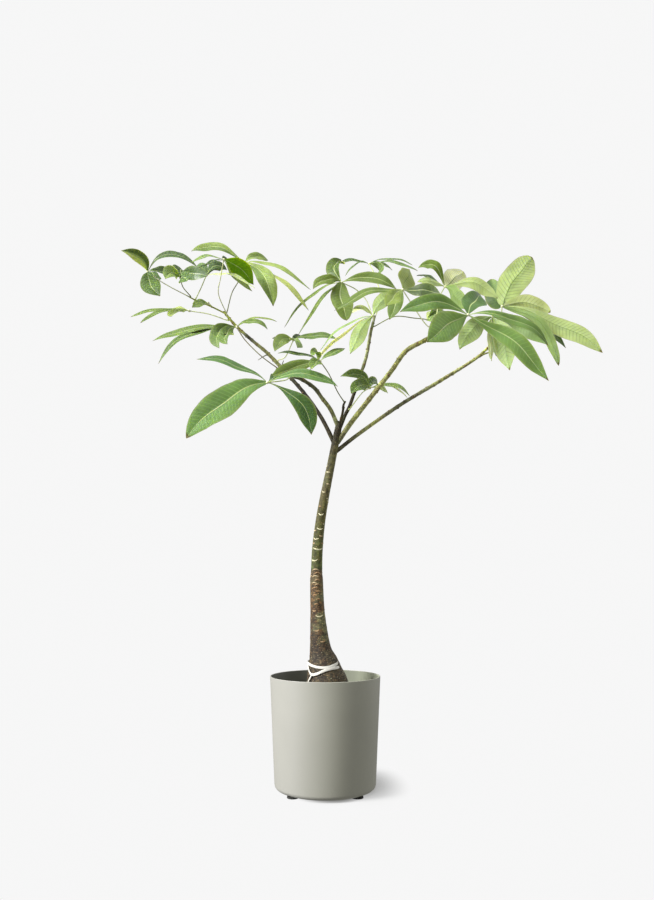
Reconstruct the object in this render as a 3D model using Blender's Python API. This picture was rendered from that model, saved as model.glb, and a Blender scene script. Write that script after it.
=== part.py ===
# A potted money tree: a slim trunk forking into woody branches, palmate leaves on long
# petioles, a white tie round the trunk's foot, soil, and a round cover pot on four feet.
import math

import bmesh
import bpy
from mathutils import Vector

# Driving sizes in metres. The origin is on the floor, on the pot's axis.
POT_HEIGHT = 0.279
POT_RIM_RADIUS = 0.135
POT_BASE_RADIUS = 0.1245
POT_WALL = 0.003
POT_FLOOR = 0.004
POT_EDGE_ROUND = 0.012
POT_SIDES = 44
FOOT_RADIUS = 0.014
FOOT_HEIGHT = 0.004
FOOT_SPREAD = 0.076
FOOT_SIDES = 16
RECESS_RADIUS = 0.080
RECESS_DEPTH = 0.0012
SOIL_TOP = 0.232
SOIL_MOUND_RADIUS = 0.075
SOIL_MOUND_RISE = 0.003
SOIL_EDGE_DROP = 0.004
HOLE_CLEARANCE = 0.0006
GAP = 0.0003

TRUNK_SIDES = 16
BRANCH_SIDES = 7
PETIOLE_SIDES = 5
PETIOLE_SPANS = 2
BRANCH_SPANS = 2
TIE_WIDTH = 0.0055
TIE_THICKNESS = 0.0014
TIE_CLEARANCE = 0.0009
TIE_STEPS = 4

BLADE_THICKNESS = 0.0010
BLADE_FOLD = 0.26
FOLDED_FROM_WIDTH = 3.5
PETIOLE_KNEE = 0.004
PETIOLE_FOOT_RADIUS = 0.0019
PETIOLE_RADIUS = 0.0011
HUB_RADIUS = 0.0034

# The tables below give places as (across, up, depth) in centimetres. They are seen from EYE:
# across and up are where a place appears beside the trunk, and depth is how far it lies
# behind the trunk, or in front of it if negative.
CM = 0.01
EYE = Vector((0.0, -1.8, 0.4915))

# Trunk centre and radius, from its foot in the soil to the fork.
TRUNK = [
    (0.8, 17.4, 0, 2.6),
    (0.8, 18.6, 0, 4.2),
    (0.8, 21.0, 0, 5.2),
    (0.7, 23.6, 0, 5.7),
    (0.4, 26.3, 0, 5.1),
    (-0.1, 29.0, 0, 4.3),
    (-0.6, 31.7, 0, 3.5),
    (-1.1, 34.1, 0, 2.7),
    (-1.5, 38.0, 0, 2.2),
    (-1.9, 44.0, 0, 1.75),
    (-2.1, 51.0, 0, 1.6),
    (-2.1, 53.5, 0, 1.4),
    (-1.9, 59.0, 0, 1.32),
    (-1.2, 65.5, 0, 1.2),
    (-0.2, 71.5, 0, 1.12),
    (0.9, 77.0, 0, 1.02),
    (1.9, 82.0, 0, 0.95),
    (2.7, 86.0, 0, 0.92),
    (3.3, 89.0, 0, 0.80),
    (3.6, 90.2, 0, 0.60),
]

# Branch centre and radius, from inside the trunk to the tip.
BRANCHES = {
    "outer_left": [
        (2.5, 84.0, 0, 0.50),
        (0.9, 87.7, 0.5, 0.52),
        (-1.5, 92.1, 2, 0.48),
        (-5.4, 97.5, 4, 0.46),
        (-10.8, 103.5, 6, 0.46),
        (-14.5, 107.3, 7, 0.43),
        (-18.0, 110.2, 8, 0.40),
        (-22.1, 113.9, 9, 0.36),
        (-24.9, 117.2, 10, 0.28),
    ],
    "green_shoot": [
        (-24.6, 116.8, 10, 0.20),
        (-28.3, 118.6, 10, 0.19),
        (-32.0, 120.1, 10, 0.17),
        (-34.0, 121.2, 10, 0.14),
    ],
    "inner_left": [
        (3.3, 88.6, 0, 0.50),
        (1.4, 93.0, -1, 0.50),
        (-0.8, 96.0, -2.5, 0.47),
        (-2.7, 98.5, -4, 0.45),
        (-6.0, 100.7, -6, 0.43),
        (-9.0, 101.7, -8, 0.40),
        (-12.1, 103.1, -9, 0.30),
    ],
    "dead_stub": [
        (3.4, 88.8, 0, 0.32),
        (4.3, 92.5, -1.5, 0.30),
        (4.5, 94.3, -2, 0.28),
        (5.0, 95.2, -2, 0.20),
    ],
    "middle": [
        (3.7, 88.8, 0, 0.46),
        (4.9, 91.8, 1.5, 0.45),
        (6.1, 94.3, 2.5, 0.44),
        (8.1, 100.2, 4, 0.42),
        (10.0, 105.8, 5, 0.40),
        (11.2, 112.2, 6, 0.37),
        (12.2, 116.2, 6, 0.28),
    ],
    "main_right": [
        (3.0, 85.0, 0, 0.60),
        (6.1, 89.6, -0.5, 0.65),
        (11.2, 96.2, -1.5, 0.64),
        (16.2, 102.6, -2.5, 0.60),
        (19.8, 107.5, -3.5, 0.55),
        (24.5, 110.2, -4.5, 0.48),
        (28.4, 112.8, -5, 0.34),
    ],
    "low_right": [
        (2.1, 82.4, 0, 0.50),
        (8.5, 87.4, 1, 0.48),
        (18.4, 94.3, 4, 0.46),
        (28.2, 100.2, 7, 0.44),
        (36.8, 105.6, 9, 0.38),
        (40.4, 108.8, 10, 0.28),
    ],
}

# The tie's strands, as (turn in degrees from the front, height in centimetres).
TIE_LOOP_HIGH = [(-74, 31.0), (0, 30.2), (69, 31.2), (110, 31.7), (180, 31.5), (250, 31.3)]
TIE_LOOP_LOW = [(-74, 30.8), (-43, 28.5), (14, 29.85), (85, 30.2), (180, 30.4), (250, 30.7)]
TIE_TAIL = [(-42, 28.7), (-54, 27.3), (-61, 26.2), (-66, 24.0)]

# Each leaf: the branch it grows on and how far along, its petiole's bends and its hub, then
# its leaflets as (middle across, middle up, tip across, tip up, tip depth, width, facing).
# Facing is in degrees: 0 is edge-on with the upper side up, 90 shows the upper side, -90
# shows the underside.
LEAVES = {
    "leaf_01": {
        "on": ("green_shoot", 0.97),
        "petiole": [(-39.5, 124.1, 9)],
        "hub": (-43.6, 127.0, 7),
        "leaflets": [
            (-46.2, 130.3, -50.1, 132.2, 3, 3.6, 50),
            (-38.3, 131.3, -31.0, 127.8, 3, 2.8, 30),
            (-40.2, 127.3, -37.6, 126.3, 17, 3.0, 35),
            (-42.0, 126.3, -40.7, 125.0, -4, 2.6, 30),
            (-43.0, 124.2, -40.5, 121.0, 2, 4.9, 75),
        ],
    },
    "leaf_02": {
        "on": ("green_shoot", 0.84),
        "petiole": [(-34.9, 123.2, 8)],
        "hub": (-35.6, 125.6, 4),
        "leaflets": [
            (-37.6, 127.5, -39.4, 124.6, -3, 4.2, 40),
            (-33.6, 127.2, -30.0, 126.3, -6, 4.6, 45),
            (-34.6, 126.9, -32.8, 124.3, -10, 4.4, 50),
            (-37.0, 126.6, -38.1, 125.9, 14, 3.6, -20),
            (-33.8, 126.7, -32.2, 126.4, 14, 3.8, -20),
        ],
    },
    "leaf_03": {
        "on": ("green_shoot", 0.66),
        "petiole": [(-30.4, 123.2, 11)],
        "hub": (-29.2, 126.1, 12),
        "leaflets": [
            (-26.9, 128.4, -24.1, 127.4, 15, 3.4, 35),
            (-31.4, 127.6, -33.4, 126.6, 18, 3.4, 30),
            (-26.6, 126.9, -23.2, 125.5, 8, 3.6, -35),
            (-29.6, 127.6, -30.2, 127.4, 23, 3.6, -20),
            (-27.6, 127.4, -25.8, 127.2, 22, 3.6, -20),
        ],
    },
    "leaf_04": {
        "on": ("outer_left", 0.985),
        "petiole": [(-22.9, 121.8, 10), (-21.2, 124.9, 9.5)],
        "hub": (-19.8, 129.3, 8),
        "leaflets": [
            (-27.0, 133.1, -32.9, 132.1, 8, 3.0, 40),
            (-17.0, 130.6, -14.0, 129.8, 17, 3.4, 30),
            (-12.4, 128.3, -3.5, 122.5, 8, 2.8, 20),
            (-12.9, 126.4, -4.0, 117.4, 2, 2.6, 12),
            (-14.9, 125.6, -12.8, 118.5, 0, 4.6, 62),
        ],
    },
    "leaf_05": {
        "on": ("outer_left", 0.94),
        "petiole": [(-28.5, 116.6, 12)],
        "hub": (-33.4, 117.4, 13),
        "leaflets": [
            (-40.3, 117.7, -47.8, 115.9, 14, 2.9, 15),
            (-39.6, 117.3, -45.4, 114.4, 8, 2.8, 15),
            (-36.2, 117.3, -37.8, 116.0, 3, 3.4, 25),
            (-36.0, 118.0, -38.0, 117.6, 23, 3.0, 10),
        ],
    },
    "leaf_06": {
        "on": ("inner_left", 0.98),
        "petiole": [(-15.6, 106.2, -8), (-19.3, 109.8, -6), (-21.1, 112.3, -5)],
        "hub": (-21.8, 113.5, -4),
        "leaflets": [
            (-32.5, 112.9, -42.4, 110.0, -6, 3.2, 28),
            (-33.5, 111.6, -41.0, 104.3, -9, 3.0, 25),
            (-26.2, 112.3, -26.0, 108.2, -12, 4.2, 65),
            (-24.4, 111.9, -24.0, 109.2, -15, 3.8, 70),
            (-17.8, 114.9, -14.1, 112.8, -6, 2.8, 25),
            (-16.6, 115.6, -11.8, 114.7, 2, 2.4, 12),
        ],
    },
    "leaf_07": {
        "on": ("inner_left", 0.83),
        "petiole": [(-9.0, 100.8, -9.2), (-10.2, 100.3, -13)],
        "hub": (-14.2, 99.8, -16),
        "leaflets": [
            (-24.8, 95.4, -34.1, 86.1, -20, 7.4, 82),
            (-22.3, 104.3, -31.6, 105.5, -14, 2.8, 30),
            (-6.6, 95.4, -3.4, 87.0, -17, 5.6, 80),
            (-5.0, 101.9, 3.1, 98.8, -17, 3.2, 45),
            (-16.4, 102.0, -18.4, 102.2, -2, 3.8, 30),
        ],
    },
    "leaf_08": {
        "on": ("dead_stub", 0.90),
        "petiole": [(3.0, 97.6, -4), (0.9, 101.9, -6)],
        "hub": (-1.3, 105.1, -7),
        "leaflets": [
            (-6.4, 106.9, -11.7, 107.0, -6, 2.6, 18),
            (-7.5, 103.4, -13.4, 101.3, -12, 3.8, 66),
            (-2.2, 106.8, -2.8, 106.5, -18, 3.0, 30),
            (1.6, 106.9, 4.9, 108.2, -3, 2.8, 30),
            (-2.4, 104.6, -3.2, 103.1, -18, 3.4, 55),
        ],
    },
    "leaf_09": {
        "on": ("outer_left", 0.535),
        "petiole": [(-9.7, 106.2, 4.5)],
        "hub": (-7.8, 110.3, 3),
        "leaflets": [
            (-10.5, 110.2, -12.4, 107.4, -2, 3.4, 62),
            (-10.6, 111.2, -13.0, 110.5, 10, 2.8, 10),
            (-7.2, 110.0, -6.8, 108.3, -8, 3.4, 30),
            (-2.5, 111.4, 3.0, 110.4, 1, 2.9, 30),
            (-6.4, 111.1, -5.2, 110.7, 14, 2.8, 5),
        ],
    },
    "leaf_10": {
        "on": ("middle", 0.985),
        "petiole": [(10.2, 119.8, 9), (7.6, 122.6, 9)],
        "hub": (4.0, 124.4, 7),
        "leaflets": [
            (2.4, 128.2, 3.9, 130.0, 15, 4.6, 60),
            (0.3, 125.2, -3.0, 122.7, 2, 3.2, 50),
            (4.0, 120.4, 5.3, 115.0, 1, 5.4, 78),
            (11.0, 125.5, 17.5, 122.7, 4, 3.6, 45),
            (-3.4, 121.2, -10.1, 113.2, 8, 2.4, 8),
            (-0.4, 120.6, -6.8, 111.2, 3, 2.4, 10),
        ],
    },
    "leaf_11": {
        "on": ("middle", 0.955),
        "petiole": [(13.6, 120.5, 12), (12.2, 126.0, 16)],
        "hub": (10.8, 129.0, 18),
        "leaflets": [
            (6.8, 129.7, 2.9, 128.9, 16, 2.6, 15),
            (7.6, 128.9, 4.9, 125.9, 24, 2.4, 8),
            (13.8, 129.4, 16.5, 127.6, 26, 2.6, 12),
            (15.9, 130.2, 21.5, 128.6, 16, 2.4, 8),
            (16.6, 129.2, 22.8, 127.2, 10, 2.6, 14),
            (13.2, 127.9, 13.0, 126.4, 8, 3.2, -35),
        ],
    },
    "leaf_12": {
        "on": ("main_right", 0.985),
        "petiole": [(25.2, 113.6, -5), (22.4, 117.3, -5), (20.3, 120.6, -5)],
        "hub": (19.0, 122.6, -5),
        "leaflets": [
            (20.0, 125.4, 20.7, 127.6, 4, 5.2, -60),
            (11.3, 121.9, 2.2, 117.4, -9, 2.8, 36),
            (16.9, 120.9, 15.0, 118.6, -17, 4.2, 70),
            (17.7, 119.6, 15.8, 115.2, -8, 3.8, 60),
            (24.0, 123.1, 28.3, 121.9, -9, 4.2, 68),
        ],
    },
    "leaf_13": {
        "on": ("middle", 0.93),
        "petiole": [(11.8, 115.6, 1)],
        "hub": (11.7, 116.2, -2),
        "leaflets": [
            (9.2, 117.9, 6.6, 116.8, -10, 2.8, 30),
            (14.2, 120.0, 17.1, 122.2, 4, 4.0, -65),
            (4.8, 113.7, -1.3, 107.6, 0, 2.4, 22),
            (4.0, 111.4, -4.7, 101.6, -4, 2.6, -35),
            (8.9, 112.6, 6.1, 106.8, -9, 3.8, -70),
        ],
    },
    "leaf_14": {
        "on": ("main_right", 0.955),
        "petiole": [(27.4, 116.5, -1), (28.1, 120.8, 3)],
        "hub": (29.4, 123.3, 5),
        "leaflets": [
            (31.2, 125.4, 32.6, 127.1, 14, 4.6, -75),
            (26.0, 124.5, 22.6, 124.5, 0, 3.2, -25),
            (25.2, 125.6, 22.9, 126.1, 16, 3.0, 15),
            (26.6, 128.4, 22.8, 127.9, 6, 3.0, 45),
            (36.6, 123.9, 42.4, 120.4, 4, 3.6, -35),
            (31.7, 121.6, 34.4, 117.8, -6, 4.2, -65),
        ],
    },
    "leaf_15": {
        "on": ("middle", 0.90),
        "petiole": [(17.0, 116.0, 10), (22.0, 115.6, 13)],
        "hub": (25.0, 115.3, 15),
        "leaflets": [
            (26.2, 116.6, 27.8, 117.0, 26, 2.8, 20),
            (28.4, 116.6, 31.5, 114.6, 17, 3.2, 30),
            (26.6, 115.2, 28.6, 112.6, 10, 3.4, 40),
            (27.6, 118.0, 31.0, 119.2, 20, 3.2, -40),
        ],
    },
    "leaf_16": {
        "on": ("main_right", 0.925),
        "petiole": [(30.0, 112.8, -10), (33.2, 114.4, -16)],
        "hub": (35.0, 116.4, -20),
        "leaflets": [
            (26.9, 119.4, 18.3, 117.1, -21, 4.2, 62),
            (30.0, 113.7, 25.0, 109.7, -27, 7.0, 82),
            (36.5, 119.7, 38.1, 121.4, -10, 6.0, 80),
            (46.2, 115.6, 54.9, 108.7, -16, 3.2, 45),
            (45.6, 109.9, 54.9, 100.2, -22, 4.6, 84),
        ],
    },
    "leaf_17": {
        "on": ("low_right", 0.985),
        "petiole": [(41.4, 112.4, 7)],
        "hub": (41.0, 116.0, 2),
        "leaflets": [
            (36.3, 113.1, 33.0, 107.9, -2, 4.9, -75),
            (43.4, 111.0, 45.3, 102.8, -2, 4.6, -75),
            (41.4, 112.2, 42.0, 106.2, 6, 3.6, -60),
            (40.4, 109.6, 40.9, 105.0, -3, 1.8, -45),
            (48.6, 113.6, 54.6, 109.0, -4, 4.0, -60),
        ],
    },
    "leaf_18": {
        "on": ("low_right", 0.955),
        "petiole": [(42.6, 110.0, 13), (43.2, 114.5, 14)],
        "hub": (43.4, 118.5, 13),
        "leaflets": [
            (46.6, 125.5, 51.0, 130.8, 14, 7.4, -84),
            (41.4, 121.6, 40.6, 125.2, 20, 4.6, -50),
            (49.6, 119.9, 55.3, 117.4, 18, 4.2, -50),
            (56.4, 114.8, 68.1, 107.1, 10, 4.6, -52),
            (53.0, 113.6, 57.3, 103.9, 7, 3.4, -52),
            (52.6, 114.4, 59.1, 108.2, 16, 3.4, 38),
        ],
    },
    "leaf_19": {
        "on": ("green_shoot", 0.30),
        "petiole": [],
        "hub": (-28.7, 119.3, 8.5),
        "leaflets": [
            (-30.6, 119.3, -32.7, 118.2, 7, 2.4, 50),
            (-30.5, 119.3, -32.6, 119.2, 3, 1.8, 40),
        ],
    },
    "leaf_20": {
        "on": ("middle", 0.27),
        "petiole": [(9.0, 97.2, 0.5)],
        "hub": (11.0, 98.5, 0.5),
        "leaflets": [
            (8.6, 101.6, 3.7, 101.3, -3, 3.2, 45),
            (8.5, 99.1, 6.4, 97.0, -6, 3.6, 66),
            (12.0, 99.7, 12.8, 99.1, 12, 3.2, 40),
            (16.6, 99.1, 20.8, 96.4, 3, 2.8, 20),
            (16.4, 98.7, 20.2, 96.0, 6, 2.4, 12),
            (13.6, 98.4, 15.4, 97.2, 10, 2.6, 25),
        ],
    },
    "leaf_21": {
        "on": ("outer_left", 0.965),
        "petiole": [(-26.2, 121.5, 6), (-25.7, 125.5, 3)],
        "hub": (-24.9, 130.0, 0),
        "leaflets": [
            (-29.0, 130.7, -32.9, 129.2, -4, 2.4, 15),
            (-21.4, 128.0, -16.5, 122.1, -4, 4.8, 80),
            (-22.6, 126.3, -18.0, 122.5, -9, 3.0, -25),
            (-28.0, 129.4, -31.0, 127.9, -12, 2.4, 8),
            (-23.8, 129.8, -22.0, 128.5, 13, 2.8, 0),
        ],
    },
}

# A leaflet's half outline: how far along the midrib, and its share of the full width.
BLADE_OUTLINE = [
    (0.00, 0.06),
    (0.15, 0.40),
    (0.38, 0.93),
    (0.65, 0.98),
    (0.88, 0.45),
    (1.00, 0.03),
]


def clear_scene():
    for item in list(bpy.data.objects):
        bpy.data.objects.remove(item, do_unlink=True)


def material(name, colour, roughness, metallic=0.0):
    made = bpy.data.materials.new(name)
    made.use_nodes = True
    shader = made.node_tree.nodes["Principled BSDF"]
    shader.inputs["Base Color"].default_value = (*colour, 1.0)
    shader.inputs["Roughness"].default_value = roughness
    shader.inputs["Metallic"].default_value = metallic
    return made


def pot_material():
    return material("pot_matte_grey_green", (0.47, 0.46, 0.39), 0.75)


def foot_material():
    return material("foot_dark_rubber", (0.03, 0.03, 0.03), 0.85)


def soil_material():
    return material("soil_dark_brown", (0.05, 0.035, 0.025), 0.95)


def bark_material():
    return material("bark_olive_brown", (0.20, 0.17, 0.09), 0.8)


def tie_material():
    return material("tie_white", (0.85, 0.85, 0.80), 0.6)


def leaf_material(name):
    return material(f"{name}_green", (0.13, 0.25, 0.06), 0.45)


def add_object(name, mesh, surface=None):
    made = bpy.data.objects.new(name, mesh)
    bpy.context.scene.collection.objects.link(made)
    if surface:
        mesh.materials.append(surface)
    return made


# Shades a round piece smooth, with the edges sharper than the angle kept.
def shade(item, angle=40):
    item.data.shade_smooth()
    item.data.set_sharp_from_angle(angle=math.radians(angle))


def mesh_from(name, points, faces):
    mesh = bpy.data.meshes.new(name)
    mesh.from_pydata([tuple(point) for point in points], [], faces)
    work = bmesh.new()
    work.from_mesh(mesh)
    bmesh.ops.recalc_face_normals(work, faces=work.faces)
    work.to_mesh(mesh)
    work.free()
    return mesh


# How much larger a thing at this depth is than it looks beside the trunk.
def seen_scale(depth):
    return 1.0 - depth * CM / EYE.y


# A place given as it is seen from EYE, turned into its real position in metres.
def place(across, up, depth):
    scale = seen_scale(depth)
    return Vector((across * CM * scale, depth * CM, EYE.z + (up * CM - EYE.z) * scale))


# A smooth curve through the given points, with each point's radius carried along.
def smooth_route(points, spans):
    ends = [2 * points[0] - points[1]] + list(points) + [2 * points[-1] - points[-2]]
    route = []
    for index in range(len(points) - 1):
        p0, p1, p2, p3 = ends[index:index + 4]
        for step in range(spans):
            t = step / spans
            route.append(
                0.5 * (
                    2 * p1
                    + (p2 - p0) * t
                    + (2 * p0 - 5 * p1 + 4 * p2 - p3) * t ** 2
                    + (3 * p1 - p0 - 3 * p2 + p3) * t ** 3
                )
            )
    route.append(points[-1].copy())
    return route


def stem_stations(table, spans):
    points = []
    for across, up, depth, radius in table:
        points.append(Vector((*place(across, up, depth), radius * CM)))
    return smooth_route(points, spans)


def directions_along(centres):
    directions = []
    for index in range(len(centres)):
        before = centres[max(index - 1, 0)]
        after = centres[min(index + 1, len(centres) - 1)]
        directions.append((after - before).normalized())
    return directions


# A closed round stem with flat ends: one ring of points at each centre, square to the stem,
# or level all along if a stem stands upright.
def stem_mesh(name, centres, radii, sides, first_direction=None, level=False):
    directions = directions_along(centres)
    if first_direction:
        directions[0] = first_direction.normalized()
    if level:
        directions = [Vector((0, 0, 1))] * len(centres)
    side = directions[0].orthogonal().normalized()
    points = []
    for centre, radius, direction in zip(centres, radii, directions):
        side = (side - direction * side.dot(direction)).normalized()
        other = direction.cross(side)
        for corner in range(sides):
            turn = 2 * math.pi * corner / sides
            points.append(centre + radius * (math.cos(turn) * side + math.sin(turn) * other))
    faces = []
    for ring in range(len(centres) - 1):
        for corner in range(sides):
            following = (corner + 1) % sides
            low = ring * sides
            high = low + sides
            faces.append((low + corner, low + following, high + following, high + corner))
    faces.append(tuple(reversed(range(sides))))
    last = (len(centres) - 1) * sides
    faces.append(tuple(range(last, last + sides)))
    return mesh_from(name, points, faces)


def trunk_mesh(name, table, swell=0.0):
    stations = stem_stations(table, 1)
    centres = [station.to_3d() for station in stations]
    radii = [station.w + swell for station in stations]
    return stem_mesh(name, centres, radii, TRUNK_SIDES, level=True)


def branch_mesh(name, table):
    stations = stem_stations(table, BRANCH_SPANS)
    centres = [station.to_3d() for station in stations]
    radii = [station.w for station in stations]
    return stem_mesh(name, centres, radii, BRANCH_SIDES)


# Joins every object of a list into one closed body, and removes the objects.
def union(name, objects, surface):
    group = bpy.data.collections.new(f"{name}_pieces")
    bpy.context.scene.collection.children.link(group)
    first = objects[0]
    for item in objects[1:]:
        bpy.context.scene.collection.objects.unlink(item)
        group.objects.link(item)
    join = first.modifiers.new("join", "BOOLEAN")
    join.operation = "UNION"
    join.operand_type = "COLLECTION"
    join.collection = group
    join.solver = "EXACT"
    joined = bpy.data.meshes.new_from_object(first.evaluated_get(bpy.context.evaluated_depsgraph_get()))
    for item in objects:
        bpy.data.objects.remove(item, do_unlink=True)
    bpy.data.collections.remove(group)
    joined.name = name
    joined.materials.clear()
    whole = add_object(name, joined, surface)
    shade(whole)


# A round body turned about the vertical axis from a (radius, height) profile that starts and
# ends on the axis.
def turned_mesh(name, profile, sides):
    points = [(0.0, 0.0, profile[0][1])]
    for radius, height in profile[1:-1]:
        for corner in range(sides):
            turn = 2 * math.pi * corner / sides
            points.append((radius * math.cos(turn), radius * math.sin(turn), height))
    points.append((0.0, 0.0, profile[-1][1]))
    rings = len(profile) - 2
    last = len(points) - 1
    faces = []
    for corner in range(sides):
        following = (corner + 1) % sides
        faces.append((0, 1 + corner, 1 + following))
        for ring in range(rings - 1):
            low = 1 + ring * sides
            high = low + sides
            faces.append((low + corner, high + corner, high + following, low + following))
        base = 1 + (rings - 1) * sides
        faces.append((base + following, base + corner, last))
    return mesh_from(name, points, faces)


def pot_outer_radius(height):
    share = (height - POT_EDGE_ROUND) / (POT_HEIGHT - POT_EDGE_ROUND)
    return POT_BASE_RADIUS + (POT_RIM_RADIUS - POT_BASE_RADIUS) * max(share, 0.0)


def pot_inner_radius(height):
    return pot_outer_radius(height) - POT_WALL


def arc(centre_radius, centre_height, size, first, last, steps):
    points = []
    for step in range(steps + 1):
        turn = math.radians(first + (last - first) * step / steps)
        points.append((centre_radius + size * math.cos(turn), centre_height + size * math.sin(turn)))
    return points


def build_pot():
    underside = FOOT_HEIGHT + GAP
    recess = underside + RECESS_DEPTH
    inside_floor = recess + POT_FLOOR
    inside_round = POT_EDGE_ROUND - POT_WALL
    lip = POT_WALL / 2
    profile = [(0.0, inside_floor)]
    profile += arc(POT_BASE_RADIUS - POT_EDGE_ROUND, inside_floor + inside_round, inside_round, -90, 0, 2)
    profile += arc(POT_RIM_RADIUS - lip, POT_HEIGHT - lip, lip, 180, 0, 3)
    profile += arc(POT_BASE_RADIUS - POT_EDGE_ROUND, underside + POT_EDGE_ROUND, POT_EDGE_ROUND, 0, -90, 3)
    profile += [
        (RECESS_RADIUS + RECESS_DEPTH, underside),
        (RECESS_RADIUS, recess),
        (0.0, recess),
    ]
    pot = add_object("pot", turned_mesh("pot", profile, POT_SIDES), pot_material())
    shade(pot)


def build_feet():
    places = {
        "foot_front_left": (-1, -1),
        "foot_front_right": (1, -1),
        "foot_back_left": (-1, 1),
        "foot_back_right": (1, 1),
    }
    for name, (side, row) in places.items():
        work = bmesh.new()
        bmesh.ops.create_cone(
            work, cap_ends=True, segments=FOOT_SIDES, radius1=FOOT_RADIUS, radius2=FOOT_RADIUS,
            depth=FOOT_HEIGHT,
        )
        mesh = bpy.data.meshes.new(name)
        work.to_mesh(mesh)
        work.free()
        foot = add_object(name, mesh, foot_material())
        foot.location = (side * FOOT_SPREAD, row * FOOT_SPREAD, FOOT_HEIGHT / 2)
        shade(foot)


# The filling: it follows the pot's inside, and has a plain hole for the trunk's foot.
def build_soil():
    floor = FOOT_HEIGHT + GAP + RECESS_DEPTH + POT_FLOOR
    low = floor + GAP
    inside_round = POT_EDGE_ROUND - POT_WALL
    wall = floor + inside_round
    profile = [
        (0.0, low),
        (POT_BASE_RADIUS - POT_EDGE_ROUND - GAP, low),
        (POT_BASE_RADIUS - POT_WALL - 2 * GAP, wall + GAP),
        (pot_inner_radius(SOIL_TOP) - 2 * GAP, SOIL_TOP - SOIL_EDGE_DROP),
        (SOIL_MOUND_RADIUS, SOIL_TOP + SOIL_MOUND_RISE),
        (0.0, SOIL_TOP + SOIL_MOUND_RISE),
    ]
    soil = add_object("soil", turned_mesh("soil", profile, POT_SIDES), soil_material())
    hole_table = [(across, up - 0.05, depth, radius) for across, up, depth, radius in TRUNK[:5]]
    hole = trunk_mesh("trunk_hole", hole_table, swell=HOLE_CLEARANCE)
    cutter = add_object("trunk_hole", hole)
    cutter.hide_render = True
    cutter.display_type = "WIRE"
    cut = soil.modifiers.new("trunk_hole", "BOOLEAN")
    cut.operation = "DIFFERENCE"
    cut.object = cutter
    cut.solver = "EXACT"


def build_trunk_and_branches():
    stems = [add_object("trunk", trunk_mesh("trunk", TRUNK))]
    for name, table in BRANCHES.items():
        stems.append(add_object(name, branch_mesh(name, table)))
    union("trunk_and_branches", stems, bark_material())


# The trunk's centre and radius at a height, for the tie.
def trunk_at(height):
    stations = stem_stations(TRUNK, 1)
    for low, high in zip(stations, stations[1:]):
        if low.z <= height <= high.z:
            return low.lerp(high, (height - low.z) / (high.z - low.z))
    return stations[-1]


# A flat strand lying on the trunk: its section is a rectangle that follows the bark's slope.
def strand_mesh(name, turns_and_heights, closed, lift):
    points = [Vector((turn, height * CM, 0)) for turn, height in turns_and_heights]
    if closed:
        first = points[0]
        points.append(Vector((first.x + 360, first.y, 0)))
    stations = smooth_route(points, TIE_STEPS)
    if closed:
        stations.pop()
    corners = []
    for station in stations:
        turn = math.radians(station.x)
        outward = Vector((math.sin(turn), -math.cos(turn), 0))
        for rise, lift_out in ((-1, 0), (1, 0), (1, 1), (-1, 1)):
            height = station.y + rise * TIE_WIDTH / 2
            trunk = trunk_at(height)
            reach = trunk.w + TIE_CLEARANCE + lift + lift_out * TIE_THICKNESS
            corners.append(Vector((trunk.x, trunk.y, height)) + outward * reach)
    faces = []
    count = len(stations)
    for ring in range(count if closed else count - 1):
        following = (ring + 1) % count
        for corner in range(4):
            after = (corner + 1) % 4
            low = 4 * ring
            high = 4 * following
            faces.append((low + corner, low + after, high + after, high + corner))
    if not closed:
        faces.append((3, 2, 1, 0))
        faces.append(tuple(4 * (count - 1) + corner for corner in range(4)))
    return mesh_from(name, corners, faces)


def build_tie():
    strands = [
        add_object("loop_high", strand_mesh("loop_high", TIE_LOOP_HIGH, True, 0.0)),
        add_object("loop_low", strand_mesh("loop_low", TIE_LOOP_LOW, True, 0.0003)),
        add_object("tail", strand_mesh("tail", TIE_TAIL, False, 0.0006)),
    ]
    union("tie", strands, tie_material())


# Where a petiole leaves its branch: the point on the bark nearest to where it heads.
def petiole_foot(branch, along, toward):
    stations = stem_stations(BRANCHES[branch], BRANCH_SPANS)
    position = along * (len(stations) - 1)
    index = min(int(position), len(stations) - 2)
    here = stations[index].lerp(stations[index + 1], position - index)
    direction = (stations[index + 1] - stations[index]).to_3d().normalized()
    centre = here.to_3d()
    outward = toward - centre
    outward = (outward - direction * outward.dot(direction)).normalized()
    return centre + outward * (here.w + GAP), outward


def petiole_mesh(name, leaf):
    hub = place(*leaf["hub"])
    bends = [place(*bend) for bend in leaf["petiole"]] + [hub]
    foot, outward = petiole_foot(*leaf["on"], bends[0])
    knee = foot + outward * PETIOLE_KNEE
    route = [foot, knee] + smooth_route([knee] + bends, PETIOLE_SPANS)[1:]
    radii = [PETIOLE_FOOT_RADIUS] * 2 + [PETIOLE_RADIUS] * (len(route) - 2)
    radii[2] = (PETIOLE_FOOT_RADIUS + PETIOLE_RADIUS) / 2
    return stem_mesh(name, route, radii, PETIOLE_SIDES, first_direction=outward)


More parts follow.
